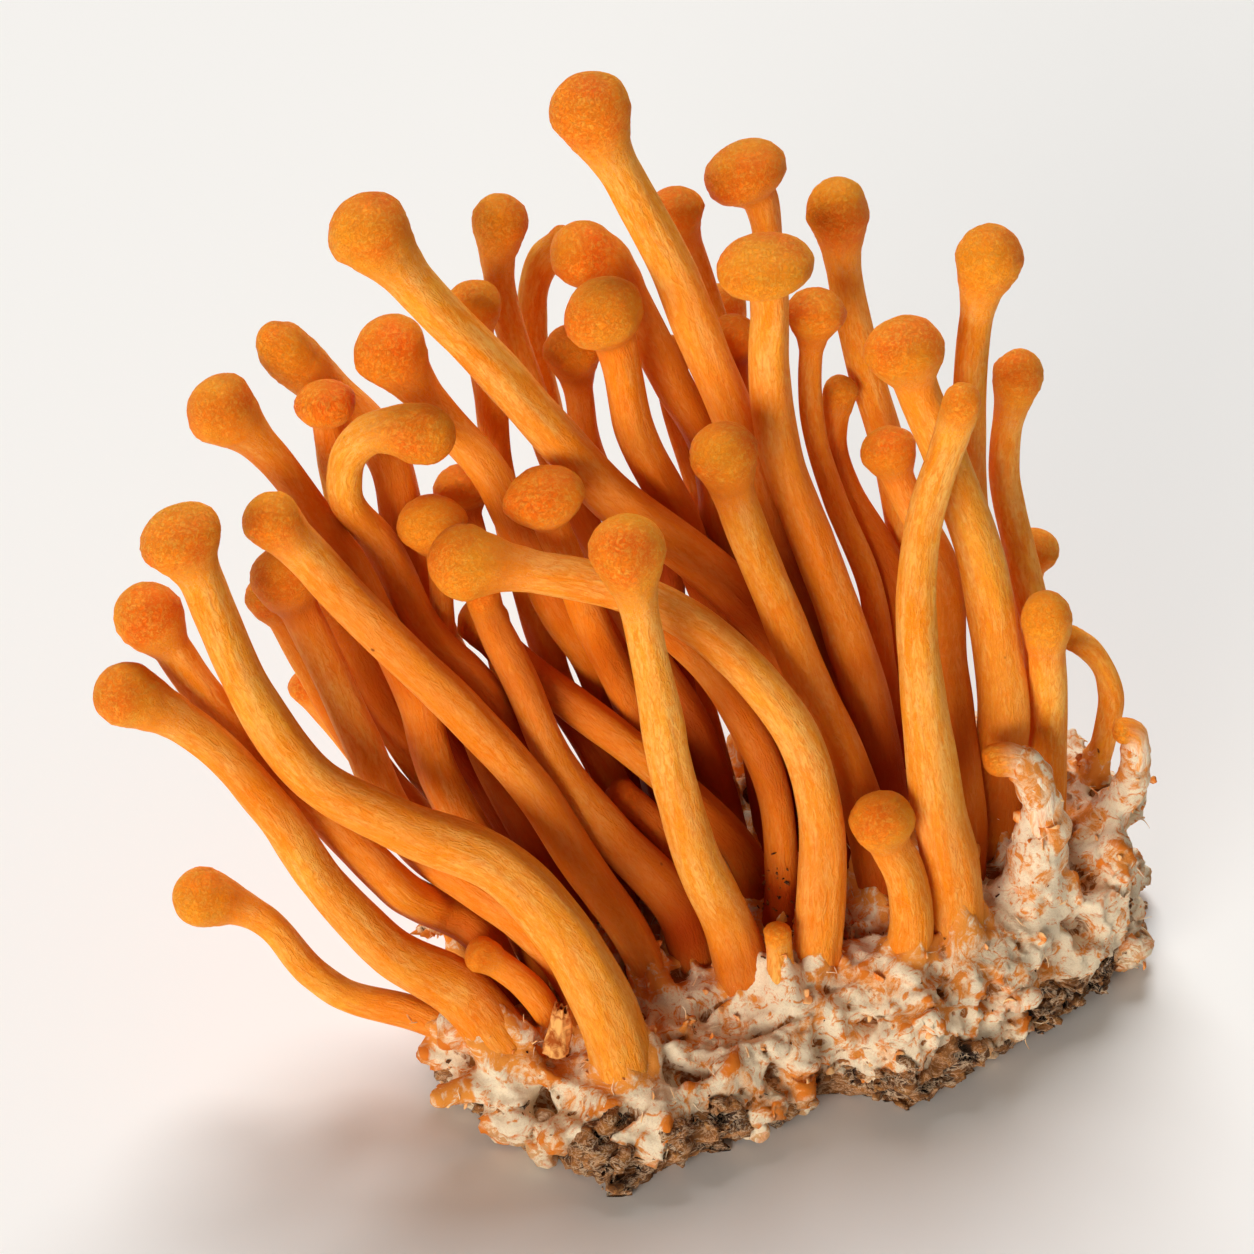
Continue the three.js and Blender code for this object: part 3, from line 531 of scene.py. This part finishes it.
def put_tongue(shape, low, high, low_radius, high_radius):
    """Adds a closed cone to the shape from one place to another, all in mm."""
    turned = (high - low).to_track_quat("Z", "Y").to_matrix().to_4x4()
    place = Matrix.Translation((low + high) / 2 * MM) @ turned
    bmesh.ops.create_cone(
        shape, cap_ends=True, segments=12, radius1=low_radius * MM,
        radius2=high_radius * MM, depth=(high - low).length * MM, matrix=place,
    )


def soften(shape, rounds, factor):
    """Lets a skin sink evenly, so that what was joined drapes from one to the next."""
    for _ in range(rounds):
        bmesh.ops.smooth_vert(shape, verts=shape.verts, factor=factor, use_axis_x=True,
                              use_axis_y=True, use_axis_z=True)


def crease(at, size):
    """A fold line's height, from about -1 between folds to 1 along their sharp ridges."""
    warped = at + 0.35 * size * noise.noise_vector(at / size)
    return 1 - 4.5 * abs(noise.noise(warped / size))


def ragged(at, size, sharpness=0.0):
    """Noise from -1 to 1 whose lumps are about size mm across, with creases if sharp."""
    value = noise.noise(at / size)
    return value * (1 - sharpness) + sharpness * (1 - 4 * abs(value))


def torn_scrap(shape, middle, out, length, width, thickness, detail=2):
    """Adds a thin bent scrap to the shape: it stands at a random tilt to the way out of the
    surface at its middle. All sizes are in mm."""
    scrap = bmesh.ops.create_icosphere(shape, subdivisions=detail, radius=1)["verts"]
    bend = dice.uniform(-0.5, 0.5)
    twist = dice.uniform(-0.8, 0.8)
    seed = Vector((dice.uniform(0, 90), dice.uniform(0, 90), dice.uniform(0, 90)))
    face = out.to_track_quat("X", "Z").to_matrix()
    face @= Matrix.Rotation(dice.uniform(0, math.tau), 3, "X")
    face @= Matrix.Rotation(dice.gauss(0, 0.5), 3, "Y")
    for v in scrap:
        at = v.co.copy()
        frayed = 1 + 0.35 * noise.noise(at * 1.6 + seed)
        at = Vector((at.x * length * frayed, at.y * width * frayed, at.z * thickness))
        at.z += bend * at.x * at.x / length + twist * at.x * at.y / length
        v.co = (middle + face @ at) * MM


def ridge_shares(shape, rounds, depth):
    """How far each corner stands out of its surroundings: 0 in a pit deeper than depth mm,
    0.5 on flat ground, 1 on a ridge."""
    smoothed = shape.copy()
    soften(smoothed, rounds, 1)
    smoothed.normal_update()
    shares = [min(1, max(0, 0.5 + 0.5 * (v.co - even.co).dot(even.normal) / (depth * MM)))
              for v, even in zip(shape.verts, smoothed.verts)]
    smoothed.free()
    return shares


def edge_places(node):
    """Corners on the outer side of a CAD node, each with its way out, in mm."""
    shape = merged_copy(node)
    shape.normal_update()
    places = [(v.co / MM, v.normal.copy()) for v in shape.verts if abs(v.normal.z) < 0.75]
    shape.free()
    return places


def grain_shows(at):
    """True near a place where the grain is bare."""
    return min(math.hypot(at.x - x, at.y - y) for x, y in GRAIN_PLACES) < GRAIN_REACH


FEET = foot_lines()
felt = merged_copy("mycelium_mat")
felt.normal_update()
felt_low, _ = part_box("mycelium_mat")
# torn folds stand out of the felt's rim and top, thickest along the torn edge
torn_places = [v for v in felt.verts if v.co.z > felt_low.z + 0.6 * MM]
torn_places = [(v.co / MM, v.normal.copy()) for v in dice.sample(torn_places, FOLDS)]
for at, out in torn_places:
    at_rim = 1 - smooth_step(0.2, 0.9, out.z)
    size = dice.uniform(0.8, 1.5) + 0.9 * at_rim * dice.random()
    torn_scrap(felt, at + out * 0.1, out, size, size * dice.uniform(0.6, 1.3), 0.42)
# elsewhere the felt hangs over the grain, down to what the bunch stands on
EDGE = edge_places("substrate_crust")
for at, out in EDGE:
    along = out.cross(Vector((0, 0, 1))).normalized()
    for _ in range(3):
        middle = at + along * dice.uniform(-1.7, 1.7) - out * dice.uniform(0, 0.9)
        middle.z = dice.uniform(*HANGING)
        if grain_shows(middle):
            continue
        size = dice.uniform(0.8, 1.35)
        torn_scrap(felt, middle, out, size, size * 1.2, size * 0.75)
# webs climb each foot in tongues, and saddles hang between neighbouring feet
for foot, grows, foot_radius, neck_radius in FEET:
    side = grows.orthogonal().normalized()
    first_turn = dice.uniform(0, math.tau)
    for k in range(TONGUES):
        turn = Matrix.Rotation(first_turn + k * math.tau / TONGUES, 3, grows)
        outward = turn @ side
        low = foot - 1.5 * grows + outward * foot_radius * dice.uniform(0.4, 0.9)
        high = foot + dice.uniform(*TONGUE_HEIGHT) * grows + outward * neck_radius * 0.75
        put_tongue(felt, low, high, foot_radius * 0.75 + dice.uniform(0.3, 1.3), 0.3)
for foot, grows, foot_radius, _ in FEET:
    for _ in range(BUTTRESSES):
        turn = dice.uniform(0, math.tau)
        outward = Vector((math.cos(turn), math.sin(turn), 0))
        high = foot + grows * dice.uniform(2.4, 4.0) + outward * foot_radius * 0.7
        low = foot + outward * (foot_radius + dice.uniform(2.0, 4.5))
        low.z += dice.uniform(-1.2, 1.6)
        put_tongue(felt, low, high, dice.uniform(0.8, 1.5), 0.45)
for k, (foot, *_) in enumerate(FEET):
    for other, *_ in FEET[k + 1:]:
        apart = other - foot
        if apart.length < SADDLE_REACH and dice.random() < SADDLE_SHARE:
            middle = (foot + other) / 2 + Vector((0, 0, dice.uniform(0.1, 1.0)))
            radii = (1.1, dice.uniform(1.6, 2.6), apart.length / 2)
            put_ball(felt, middle, radii, apart)
# the felt coats the pale stubs for most of their length
coat_middles = []
coat_radii = []
for node, (share, thickness) in COATED.items():
    _, middles, radii, *_ = rows_of(rings_of(node))
    coated_rows = range(0, int(share * len(radii)), 3)
    for row in coated_rows:
        radius = radii[row] + thickness * dice.uniform(0.5, 1.0) * (1 - 0.75 * row / len(radii))
        sway = Vector((dice.gauss(0, 0.2), dice.gauss(0, 0.2), 0))
        put_ball(felt, Vector(middles[row]) + sway, (radius, radius, radius))
        coat_middles.append(middles[row])
        coat_radii.append(radius)
put_tongue(felt, *FINGER, *FINGER_RADII)
put_ball(felt, FINGER[1], (FINGER_RADII[1] * 1.2,) * 3)
felt = voxel_skin(felt, FELT_VOXEL)
soften(felt, 3, 0.6)
felt.normal_update()
near_stalk = felt.verts.layers.float.new("near_stalk")
rim_share = felt.verts.layers.float.new("rim_share")
ridge_share = felt.verts.layers.float.new("ridge_share")
foot_points = np.array([foot for foot, _, _, _ in FEET])
foot_ways = np.array([grows for _, grows, _, _ in FEET])
foot_radii = np.array([neck_radius for _, _, _, neck_radius in FEET])
bare_feet = np.array([node not in COATED for node in STALK_NODES])
coat_middles = np.array(coat_middles)
coat_radii = np.array(coat_radii)
for v in felt.verts:
    at = v.co / MM
    from_feet = np.array(at) - foot_points
    along = (from_feet * foot_ways).sum(axis=1)
    across = np.linalg.norm(from_feet - along[:, None] * foot_ways, axis=1) - foot_radii
    across[(along < 0.5) | (along > CLIMB)] = math.inf
    closeness = max(0.0, 1 - across.min() / NEAR_STALK)
    orange_reach = max(0.0, 1 - across[bare_feet].min() / NEAR_STALK)
    from_coats = np.linalg.norm(np.array(at) - coat_middles, axis=1) - coat_radii
    in_coat = 1 - smooth_step(0, NEAR_COAT, from_coats.min())
    bud_like = 1 - smooth_step(0.6, 2.4, (at - FINGER[1]).length - FINGER_RADII[0])
    low = 1 - smooth_step(0, RIM_HEIGHT, at.z - felt_low.z / MM)
    v[near_stalk] = max(orange_reach * (1 - in_coat), bud_like)
    v[rim_share] = low
    # each part of the relief is its height in mm times noise of a size in mm
    lumps = 1.1 * ragged(at, 5.6) + 0.3 * ragged(at, 2.2)
    folds = 0.5 * crease(at, 5.0) + 0.22 * crease(at + Vector((30, 0, 0)), 2.4)
    threads = 0.17 * ragged(at, 0.9, 0.7)
    layers = 0.45 * low * crease(Vector((at.x * 0.35, at.y * 0.35, at.z * 1.7)), 1.2)
    hollow = -2.2 * smooth_step(0.26, 0.5, noise.noise(at / 2.7 + Vector((9, 4, 2))))
    open_share = 1 - 0.75 * max(closeness, bud_like, in_coat)
    v.co += v.normal * (lumps + folds + threads + layers + hollow) * open_share * MM
    v.co.z = max(v.co.z, FELT_GAP * MM)
felt.normal_update()
for v, share in zip(felt.verts, ridge_shares(felt, RIDGE_ROUNDS, 0.32)):
    v[ridge_share] = share


def place_in_mm(material):
    """The place on a piece, in mm, for its patterns."""
    place = add_node(material, "TexCoord", output="Object")
    return add_node(material, "Mapping", Vector=place, Scale=(1000, 1000, 1000))


# Mycelium felt: a dry mat of white threads, matt as cotton. It gives the eye a broken cream
# surface with orange stains and torn edges, fine fibres in every direction, and brown pits.
def mycelium_felt():
    material, shader = new_material("mycelium_felt")
    place = place_in_mm(material)
    near = add_node(material, "Attribute", {"attribute_name": "near_stalk"}, output="Fac")
    rim = add_node(material, "Attribute", {"attribute_name": "rim_share"}, output="Fac")
    ridge = add_node(material, "Attribute", {"attribute_name": "ridge_share"}, output="Fac")
    broad = add_node(material, "TexNoise", Vector=place, Scale=0.26, Detail=5, Roughness=0.6,
                     Distortion=1.0)
    torn = add_node(material, "TexNoise", Vector=place, Scale=0.62, Detail=6, Roughness=0.66,
                    Distortion=2.4)
    threads = add_node(material, "TexNoise", Vector=place, Scale=4.5, Detail=5, Roughness=0.7,
                       Distortion=2.2)
    # cream felt, with orange where stalks were about to form
    cream = add_node(material, "Mix", MIX, Factor=threads, A=linear("#FCDCAC"),
                     B=linear("#FFF6E2"))
    stain_share = add_node(material, "ValToRGB", ramp(0.49, 0.62), Fac=broad)
    stain = add_node(material, "Mix", MIX, Factor=threads, A=linear("#EC8A30"),
                     B=linear("#FCBE76"))
    stain_part = add_node(material, "Mix", MIX, Factor=stain_share, A=BLACK, B=linear("#E4E4E4"))
    colour = add_node(material, "Mix", MIX, Factor=stain_part, A=cream, B=stain)
    # torn flakes of orange skin, a few millimetres long, gathered in patches
    gathered = add_node(material, "Mix", MIX, Factor=0.35, A=torn, B=broad)
    fleck_share = add_node(material, "ValToRGB", ramp(0.5, 0.57), Fac=gathered)
    fleck_tone = add_node(material, "Mix", MIX, Factor=threads, A=linear("#E47318"),
                          B=linear("#FCAE54"))
    colour = add_node(material, "Mix", MIX, Factor=fleck_share, A=colour, B=fleck_tone)
    # thin brown cracks between the threads
    cracks = add_node(material, "TexNoise", Vector=place, Scale=1.0, Detail=5, Roughness=0.65,
                      Distortion=3.0)
    crack_band = {"stops": [(0.47, BLACK), (0.49, grey(0.8)), (0.51, BLACK)]}
    crack_share = add_node(material, "ValToRGB", crack_band, Fac=cracks)
    crack_part = add_node(material, "Mix", MIX, Factor=broad, A=BLACK, B=crack_share)
    colour = add_node(material, "Mix", MIX, Factor=crack_part, A=colour, B=linear("#B0601E"))
    # thin torn edges dry to a deeper orange
    edge_share = add_node(material, "ValToRGB", ramp(0.6, 0.86), Fac=ridge)
    edge_share = add_node(material, "Mix", MIX, Factor=edge_share, A=BLACK, B=broad)
    edge_share = add_node(material, "ValToRGB", ramp(0.46, 0.56), Fac=edge_share)
    colour = add_node(material, "Mix", MIX, Factor=edge_share, A=colour, B=linear("#E98026"))
    near_share = add_node(material, "ValToRGB", ramp(0.3, 0.85), Fac=near)
    near_share = add_node(material, "Mix", MIX, Factor=near_share, A=BLACK, B=torn)
    near_share = add_node(material, "ValToRGB", ramp(0.34, 0.5), Fac=near_share)
    colour = add_node(material, "Mix", MIX, Factor=near_share, A=colour, B=linear("#F49A3E"))
    # brown in the pits and along the torn underside
    pit_share = add_node(material, "ValToRGB", falling_ramp(0.14, 0.4), Fac=ridge)
    pit_part = add_node(material, "Mix", MIX, Factor=pit_share, A=BLACK, B=torn)
    pit_part = add_node(material, "ValToRGB", ramp(0.36, 0.56), Fac=pit_part)
    colour = add_node(material, "Mix", MIX, Factor=pit_part, A=colour, B=linear("#A2602A"))
    rim_mix = add_node(material, "Mix", MIX, Factor=rim, A=BLACK, B=torn)
    rim_mix = add_node(material, "ValToRGB", ramp(0.46, 0.62), Fac=rim_mix)
    rim_tone = add_node(material, "Mix", MIX, Factor=threads, A=linear("#B4702E"),
                        B=linear("#F8CE98"))
    colour = add_node(material, "Mix", MIX, Factor=rim_mix, A=colour, B=rim_tone)
    relief = add_node(material, "Mix", MIX, Factor=0.6, A=cracks, B=threads)
    bump = add_node(material, "Bump", Strength=0.75, Distance=0.28 * MM, Height=relief)
    set_inputs(material, shader, Base_Color=colour, Normal=bump, Roughness=0.85,
               Specular_IOR_Level=0.2)
    return material


finished(felt, "mycelium_felt", mycelium_felt(), ["mycelium_mat"])


# Dried felt: scraps, threads, torn skin and crumbs that stand off the bunch and have dried
# out. It gives the eye thin, matt bits, stained unevenly from a deep tone to a pale one.
def dried_felt(name, deep, pale):
    material, shader = new_material(name)
    place = place_in_mm(material)
    stain = add_node(material, "TexNoise", Vector=place, Scale=0.9, Detail=4, Roughness=0.6,
                     Distortion=0.8)
    stain_share = add_node(material, "ValToRGB", ramp(0.4, 0.6), Fac=stain)
    colour = add_node(material, "Mix", MIX, Factor=stain_share, A=linear(deep), B=linear(pale))
    bump = add_node(material, "Bump", Strength=0.5, Distance=0.1 * MM, Height=stain)
    set_inputs(material, shader, Base_Color=colour, Normal=bump, Roughness=0.8,
               Specular_IOR_Level=0.25)
    return material


# loose scraps of felt on the torn surface and round the feet
SCRAPS = 380
SCRAP_SIZE = (0.2, 0.65)         # mm
SCRAP_THICKNESS = 0.07           # mm
PERCH_HEIGHT = 1.2               # mm above the table, the lowest place for any
scraps = bmesh.new()
felt_mesh = bpy.data.objects["mycelium_felt"].data
perches = [v for v in felt_mesh.vertices if v.co.z > PERCH_HEIGHT * MM]
for perch in dice.sample(perches, SCRAPS):
    size = dice.uniform(*SCRAP_SIZE)
    breadth = size * dice.uniform(0.4, 1.0)
    torn_scrap(scraps, perch.co / MM, perch.normal, size, breadth, SCRAP_THICKNESS)
finished(scraps, "felt_scraps", dried_felt("torn_felt_scrap", "#E47C22", "#F6C88C"))

# single threads that stand off the torn felt, drawn at a tenth of a millimetre so they show
THREADS = 420
THREAD_LENGTH = (0.6, 1.5)       # mm
THREAD_RADII = (0.06, 0.02)      # mm, at the root and the tip
THREAD_ROOT = 0.15               # mm of it that stay in the felt
LEAN = 0.9                       # radians, how far most of them lean
straight = bmesh.new()
bmesh.ops.create_cone(straight, cap_ends=True, segments=4, radius1=THREAD_RADII[0],
                      radius2=THREAD_RADII[1], depth=1)
long_edges = [e for e in straight.edges if abs(e.verts[0].co.z - e.verts[1].co.z) > 0.5]
bmesh.ops.subdivide_edges(straight, edges=long_edges, cuts=4)
straight_mesh = bpy.data.meshes.new("straight_thread")
straight.to_mesh(straight_mesh)
straight.free()
strands = bmesh.new()
for perch in dice.sample(perches, THREADS):
    length = dice.uniform(*THREAD_LENGTH)
    before = len(strands.verts)
    strands.from_mesh(straight_mesh)
    strands.verts.ensure_lookup_table()
    seed = Vector((dice.uniform(0, 90), dice.uniform(0, 90), 0))
    lean = Matrix.Rotation(dice.gauss(0, LEAN), 3, "Y")
    lean @= Matrix.Rotation(dice.gauss(0, LEAN), 3, "X")
    turn = perch.normal.to_track_quat("Z", "Y").to_matrix() @ lean
    for v in strands.verts[before:]:
        up = (v.co.z + 0.5) * length - THREAD_ROOT
        curl = Vector((0, 0, up * 0.9)) + seed
        bent = Vector((noise.noise(curl), noise.noise(curl.zxy), 0)) * 0.5 * up
        v.co = (perch.co / MM + turn @ (Vector((v.co.x, v.co.y, up)) + bent)) * MM
bpy.data.meshes.remove(straight_mesh)
finished(strands, "felt_threads", dried_felt("mycelium_thread", "#F2BE80", "#FFEBCB"))


# ---------------------------------------------------------------- torn stub
# One young stalk tore off near the mycelium and left an open tube of dried skin, folded over
# at its rim. It stands in the felt at the low end of the bunch.

STUB_FOOT = Vector((-17.9, -15.6, 8.0))
STUB_TOP = Vector((-17.4, -15.5, 12.0))
STUB_RADII = (0.95, 0.72)        # mm, at its foot and its rim
STUB_WALL = 0.16                 # mm
stub = bmesh.new()
stub_length = (STUB_TOP - STUB_FOOT).length
bmesh.ops.create_cone(stub, cap_ends=False, segments=28, radius1=STUB_RADII[0],
                      radius2=STUB_RADII[1], depth=stub_length)
long_edges = [e for e in stub.edges if abs(e.verts[0].co.z - e.verts[1].co.z) > 1]
bmesh.ops.subdivide_edges(stub, edges=long_edges, cuts=14)
bmesh.ops.recalc_face_normals(stub, faces=stub.faces)
bmesh.ops.solidify(stub, geom=stub.faces[:], thickness=STUB_WALL)
stands = (STUB_TOP - STUB_FOOT).to_track_quat("Z", "Y").to_matrix()
stub_low = -stub_length / 2
# the wall wrinkles lengthwise, and the rim is torn and turned in
for v in stub.verts:
    up = (v.co.z - stub_low) / stub_length
    turn = math.atan2(v.co.y, v.co.x)
    folded = Vector((math.cos(turn), math.sin(turn), 0))
    torn_rim = 1.1 * noise.noise(folded * 1.1) + 0.4 * noise.noise(folded * 3.4)
    wrinkle = 0.3 * noise.noise(Vector((*folded.xy * 2.2, v.co.z * 0.5)))
    v.co += folded * (wrinkle - 0.2 * up ** 4)
    v.co.z += up ** 3 * torn_rim
    v.co = (STUB_FOOT + stands @ (v.co - Vector((0, 0, stub_low)))) * MM
finished(stub, "torn_stub", dried_felt("dried_stub_skin", "#A84E0C", "#F4B264"))


# ---------------------------------------------------------------- grain medium
# The scrap of growing medium that came away with the bunch: steamed grain gone dark brown,
# packed and shiny where it broke, bound by thin layers of felt. It is what the bunch rests on.

CRUST_VOXEL = 0.32               # mm
LAYERS = 110                     # thin torn layers round the crust
LAYER_SIZE = (0.8, 1.7)          # mm
LAYER_HEIGHT = (0.9, 3.6)        # mm above the table
CHUNKS = 8                       # broken grains at each place where they show
CHUNK_SIZE = (1.1, 2.4)          # mm
CHUNK_SPREAD = 1.1               # mm round the place
CHUNK_HEIGHT = (2.8, 4.8)        # mm above the table
DRAWN_IN = 0.9                   # share of the way out at which they stay, under the felt's edge
UNDERCUT = 1.1                   # mm, how far the crust draws in just above the table
UNDERCUT_HEIGHT = 2.0            # mm
crust = merged_copy("substrate_crust")
for _ in range(LAYERS):
    at, out = dice.choice(EDGE)
    along = out.cross(Vector((0, 0, 1))).normalized()
    at = at + along * dice.uniform(-1.6, 1.6)
    at.z = dice.uniform(*LAYER_HEIGHT)
    flat_out = Vector((out.x, out.y, dice.uniform(-0.1, 0.35))).normalized()
    size = dice.uniform(*LAYER_SIZE)
    torn_scrap(crust, at - flat_out * 0.5, flat_out, size, size * 1.2, 0.3)
# broken grains show where the felt has torn off them
for x, y in GRAIN_PLACES:
    for _ in range(CHUNKS):
        middle = Vector((x + dice.gauss(0, CHUNK_SPREAD), y + dice.gauss(0, CHUNK_SPREAD),
                         dice.uniform(*CHUNK_HEIGHT)))
        middle.xy *= DRAWN_IN
        turned = Vector((dice.gauss(0, 1), dice.gauss(0, 1), dice.gauss(0, 1)))
        turned = turned.to_track_quat("Z", "Y").to_matrix().to_4x4()
        broken = Matrix.Diagonal((1, dice.uniform(0.6, 1.3), dice.uniform(0.4, 0.8), 1))
        chunk = Matrix.Translation(middle * MM) @ turned @ broken
        bmesh.ops.create_cube(crust, size=dice.uniform(*CHUNK_SIZE) * MM, matrix=chunk)
crust = voxel_skin(crust, CRUST_VOXEL)
crust.normal_update()
ridge_share = crust.verts.layers.float.new("ridge_share")
for v in crust.verts:
    at = v.co / MM
    lumps = 0.45 * ragged(at, 3.4) + 0.2 * crease(at, 2.6) + 0.3 * ragged(at, 0.9, 0.5)
    layers = 0.5 * crease(Vector((at.x * 0.3, at.y * 0.3, at.z * 1.3)), 1.1)
    tuck = UNDERCUT * (1 - smooth_step(0, UNDERCUT_HEIGHT, at.z))
    v.co += v.normal * (lumps + layers) * MM
    v.co -= Vector((v.normal.x, v.normal.y, 0)) * tuck * MM
    v.co.z = max(v.co.z, 0)
crust.normal_update()
for v, share in zip(crust.verts, ridge_shares(crust, RIDGE_ROUNDS, 0.3)):
    v[ridge_share] = share


# Steamed grain: dark brown husks and starch, broken open. It gives the eye near-black gloss
# in the breaks, tan and cream rims where threads cover it, and warm orange edges.
def steamed_grain():
    material, shader = new_material("steamed_grain")
    place = place_in_mm(material)
    ridge = add_node(material, "Attribute", {"attribute_name": "ridge_share"}, output="Fac")
    flat = add_node(material, "Mapping", Vector=place, Scale=(1, 1, 2.0))
    broad = add_node(material, "TexNoise", Vector=flat, Scale=0.3, Detail=4, Roughness=0.6,
                     Distortion=1.2)
    fine = add_node(material, "TexNoise", Vector=flat, Scale=2.2, Detail=6, Roughness=0.72,
                    Distortion=1.5)
    # from wet dark breaks to tan husk
    husk = add_node(material, "Mix", MIX, Factor=0.7, A=ridge, B=fine)
    husk_tones = {"stops": [
        (0.4, linear("#1D0D05")), (0.52, linear("#3A1E0B")), (0.6, linear("#683B16")),
        (0.68, linear("#A06A32")), (0.78, linear("#DCAE70")),
    ]}
    colour = add_node(material, "ValToRGB", husk_tones, Fac=husk)
    # thin wavy sheets of threads that bind the grain, brown to cream
    sheets = add_node(material, "TexNoise", Vector=flat, Scale=0.5, Detail=6, Roughness=0.66,
                      Distortion=2.2)
    sheet_band = {"stops": [(0.46, BLACK), (0.48, WHITE), (0.51, WHITE), (0.53, BLACK)]}
    sheet_share = add_node(material, "ValToRGB", sheet_band, Fac=sheets)
    sheet_tone = add_node(material, "Mix", MIX, Factor=fine, A=linear("#9A5C28"),
                          B=linear("#FFEBC8"))
    colour = add_node(material, "Mix", MIX, Factor=sheet_share, A=colour, B=sheet_tone)
    # the threads stain it orange here and there
    stain_share = add_node(material, "ValToRGB", ramp(0.46, 0.56), Fac=broad)
    stain_part = add_node(material, "Mix", MIX, Factor=stain_share, A=BLACK, B=linear("#B8B8B8"))
    stain_tone = add_node(material, "Mix", MIX, Factor=fine, A=linear("#7A3A0C"),
                          B=linear("#F3A04A"))
    colour = add_node(material, "Mix", MIX, Factor=stain_part, A=colour, B=stain_tone)
    pale_share = add_node(material, "ValToRGB", ramp(0.42, 0.58), Fac=husk)
    gloss = add_node(material, "Mix", MIX, Factor=pale_share, A=linear("#8E8E8E"),
                     B=linear("#E6E6E6"))
    bump = add_node(material, "Bump", Strength=0.8, Distance=0.25 * MM, Height=fine)
    set_inputs(material, shader, Base_Color=colour, Roughness=gloss, Normal=bump)
    return material


finished(crust, "grain_medium", steamed_grain(), ["substrate_crust"])

# crumbs of grain that fell between the stalks, and some that an inner stalk lifted
CRUMBS = 200
CRUMB_SIZE = (0.12, 0.36)        # mm
LIFTED = 26
LIFTED_TO = (11, 18)             # mm above the table
lifting = [v for v in bpy.data.objects["grown_stalk_inner_arc"].data.vertices
           if LIFTED_TO[0] * MM < v.co.z < LIFTED_TO[1] * MM and v.normal.y < 0]
crumbs = bmesh.new()
for perch in dice.sample(perches, CRUMBS) + dice.sample(lifting, LIFTED):
    size = dice.uniform(*CRUMB_SIZE)
    breadth = size * dice.uniform(0.3, 1.0)
    torn_scrap(crumbs, perch.co / MM, perch.normal, size, breadth, size * 0.22, detail=1)
finished(crumbs, "grain_crumbs", dried_felt("grain_crumb", "#3A1D0A", "#9A5C26"))


# ---------------------------------------------------------------- studio
# A pale table, a large soft lamp high behind the bunch, a warm one low in front of it that
# fills its shadows, and an even pale room.

TABLE_REACH = 1.5                # m from its middle to each side
floor_shape = bmesh.new()
bmesh.ops.create_grid(floor_shape, x_segments=1, y_segments=1, size=TABLE_REACH)
floor_mesh = bpy.data.meshes.new("table")
floor_shape.to_mesh(floor_mesh)
floor_shape.free()
floor = bpy.data.objects.new("table", floor_mesh)
bpy.context.scene.collection.objects.link(floor)
floor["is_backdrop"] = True
floor_material, floor_shader = new_material("matt_paper")
set_inputs(floor_material, floor_shader, Base_Color=linear("#F3F2F1"), Roughness=0.9,
           Specular_IOR_Level=0.1)
floor_mesh.materials.append(floor_material)

# energy in watts a square metre, width in degrees, the way it shines from, and its colour
LAMPS = {
    "softbox": (2.9, 36, (-0.05, 0.82, 1.05), (0.99, 1.0, 1.0)),
    "front_fill": (4.3, 40, (-0.5, -1.0, 0.07), (1.0, 0.955, 0.88)),
}
for name, (energy, width, lamp_from, colour) in LAMPS.items():
    lamp = bpy.data.lights.new(name, "SUN")
    lamp.energy = energy
    lamp.angle = math.radians(width)
    lamp.color = colour
    lamp_object = bpy.data.objects.new(name, lamp)
    bpy.context.scene.collection.objects.link(lamp_object)
    lamp_object.rotation_euler = Vector(lamp_from).to_track_quat("Z", "Y").to_euler()

world = bpy.data.worlds.new("room")
bpy.context.scene.world = world
world.use_nodes = True
set_inputs(world, world.node_tree.nodes["Background"], Color=linear("#FFF4E4"), Strength=0.14)

CAMERA_ELEVATION = math.radians(35)
CAMERA_DISTANCE = 385 * MM
camera_aim = Vector((-12.6, 0, 35.5)) * MM
camera = bpy.data.cameras.new("camera")
camera.lens = 150
camera.sensor_width = 36
camera_object = bpy.data.objects.new("camera", camera)
bpy.context.scene.collection.objects.link(camera_object)
away = Vector((0, -math.cos(CAMERA_ELEVATION), math.sin(CAMERA_ELEVATION)))
camera_object.location = camera_aim + away * CAMERA_DISTANCE
camera_object.rotation_euler = away.to_track_quat("Z", "Y").to_euler()
camera.clip_start = 10 * MM
camera.clip_end = 10
bpy.context.scene.camera = camera_object
bpy.context.scene.view_settings.view_transform = "Standard"

low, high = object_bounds()
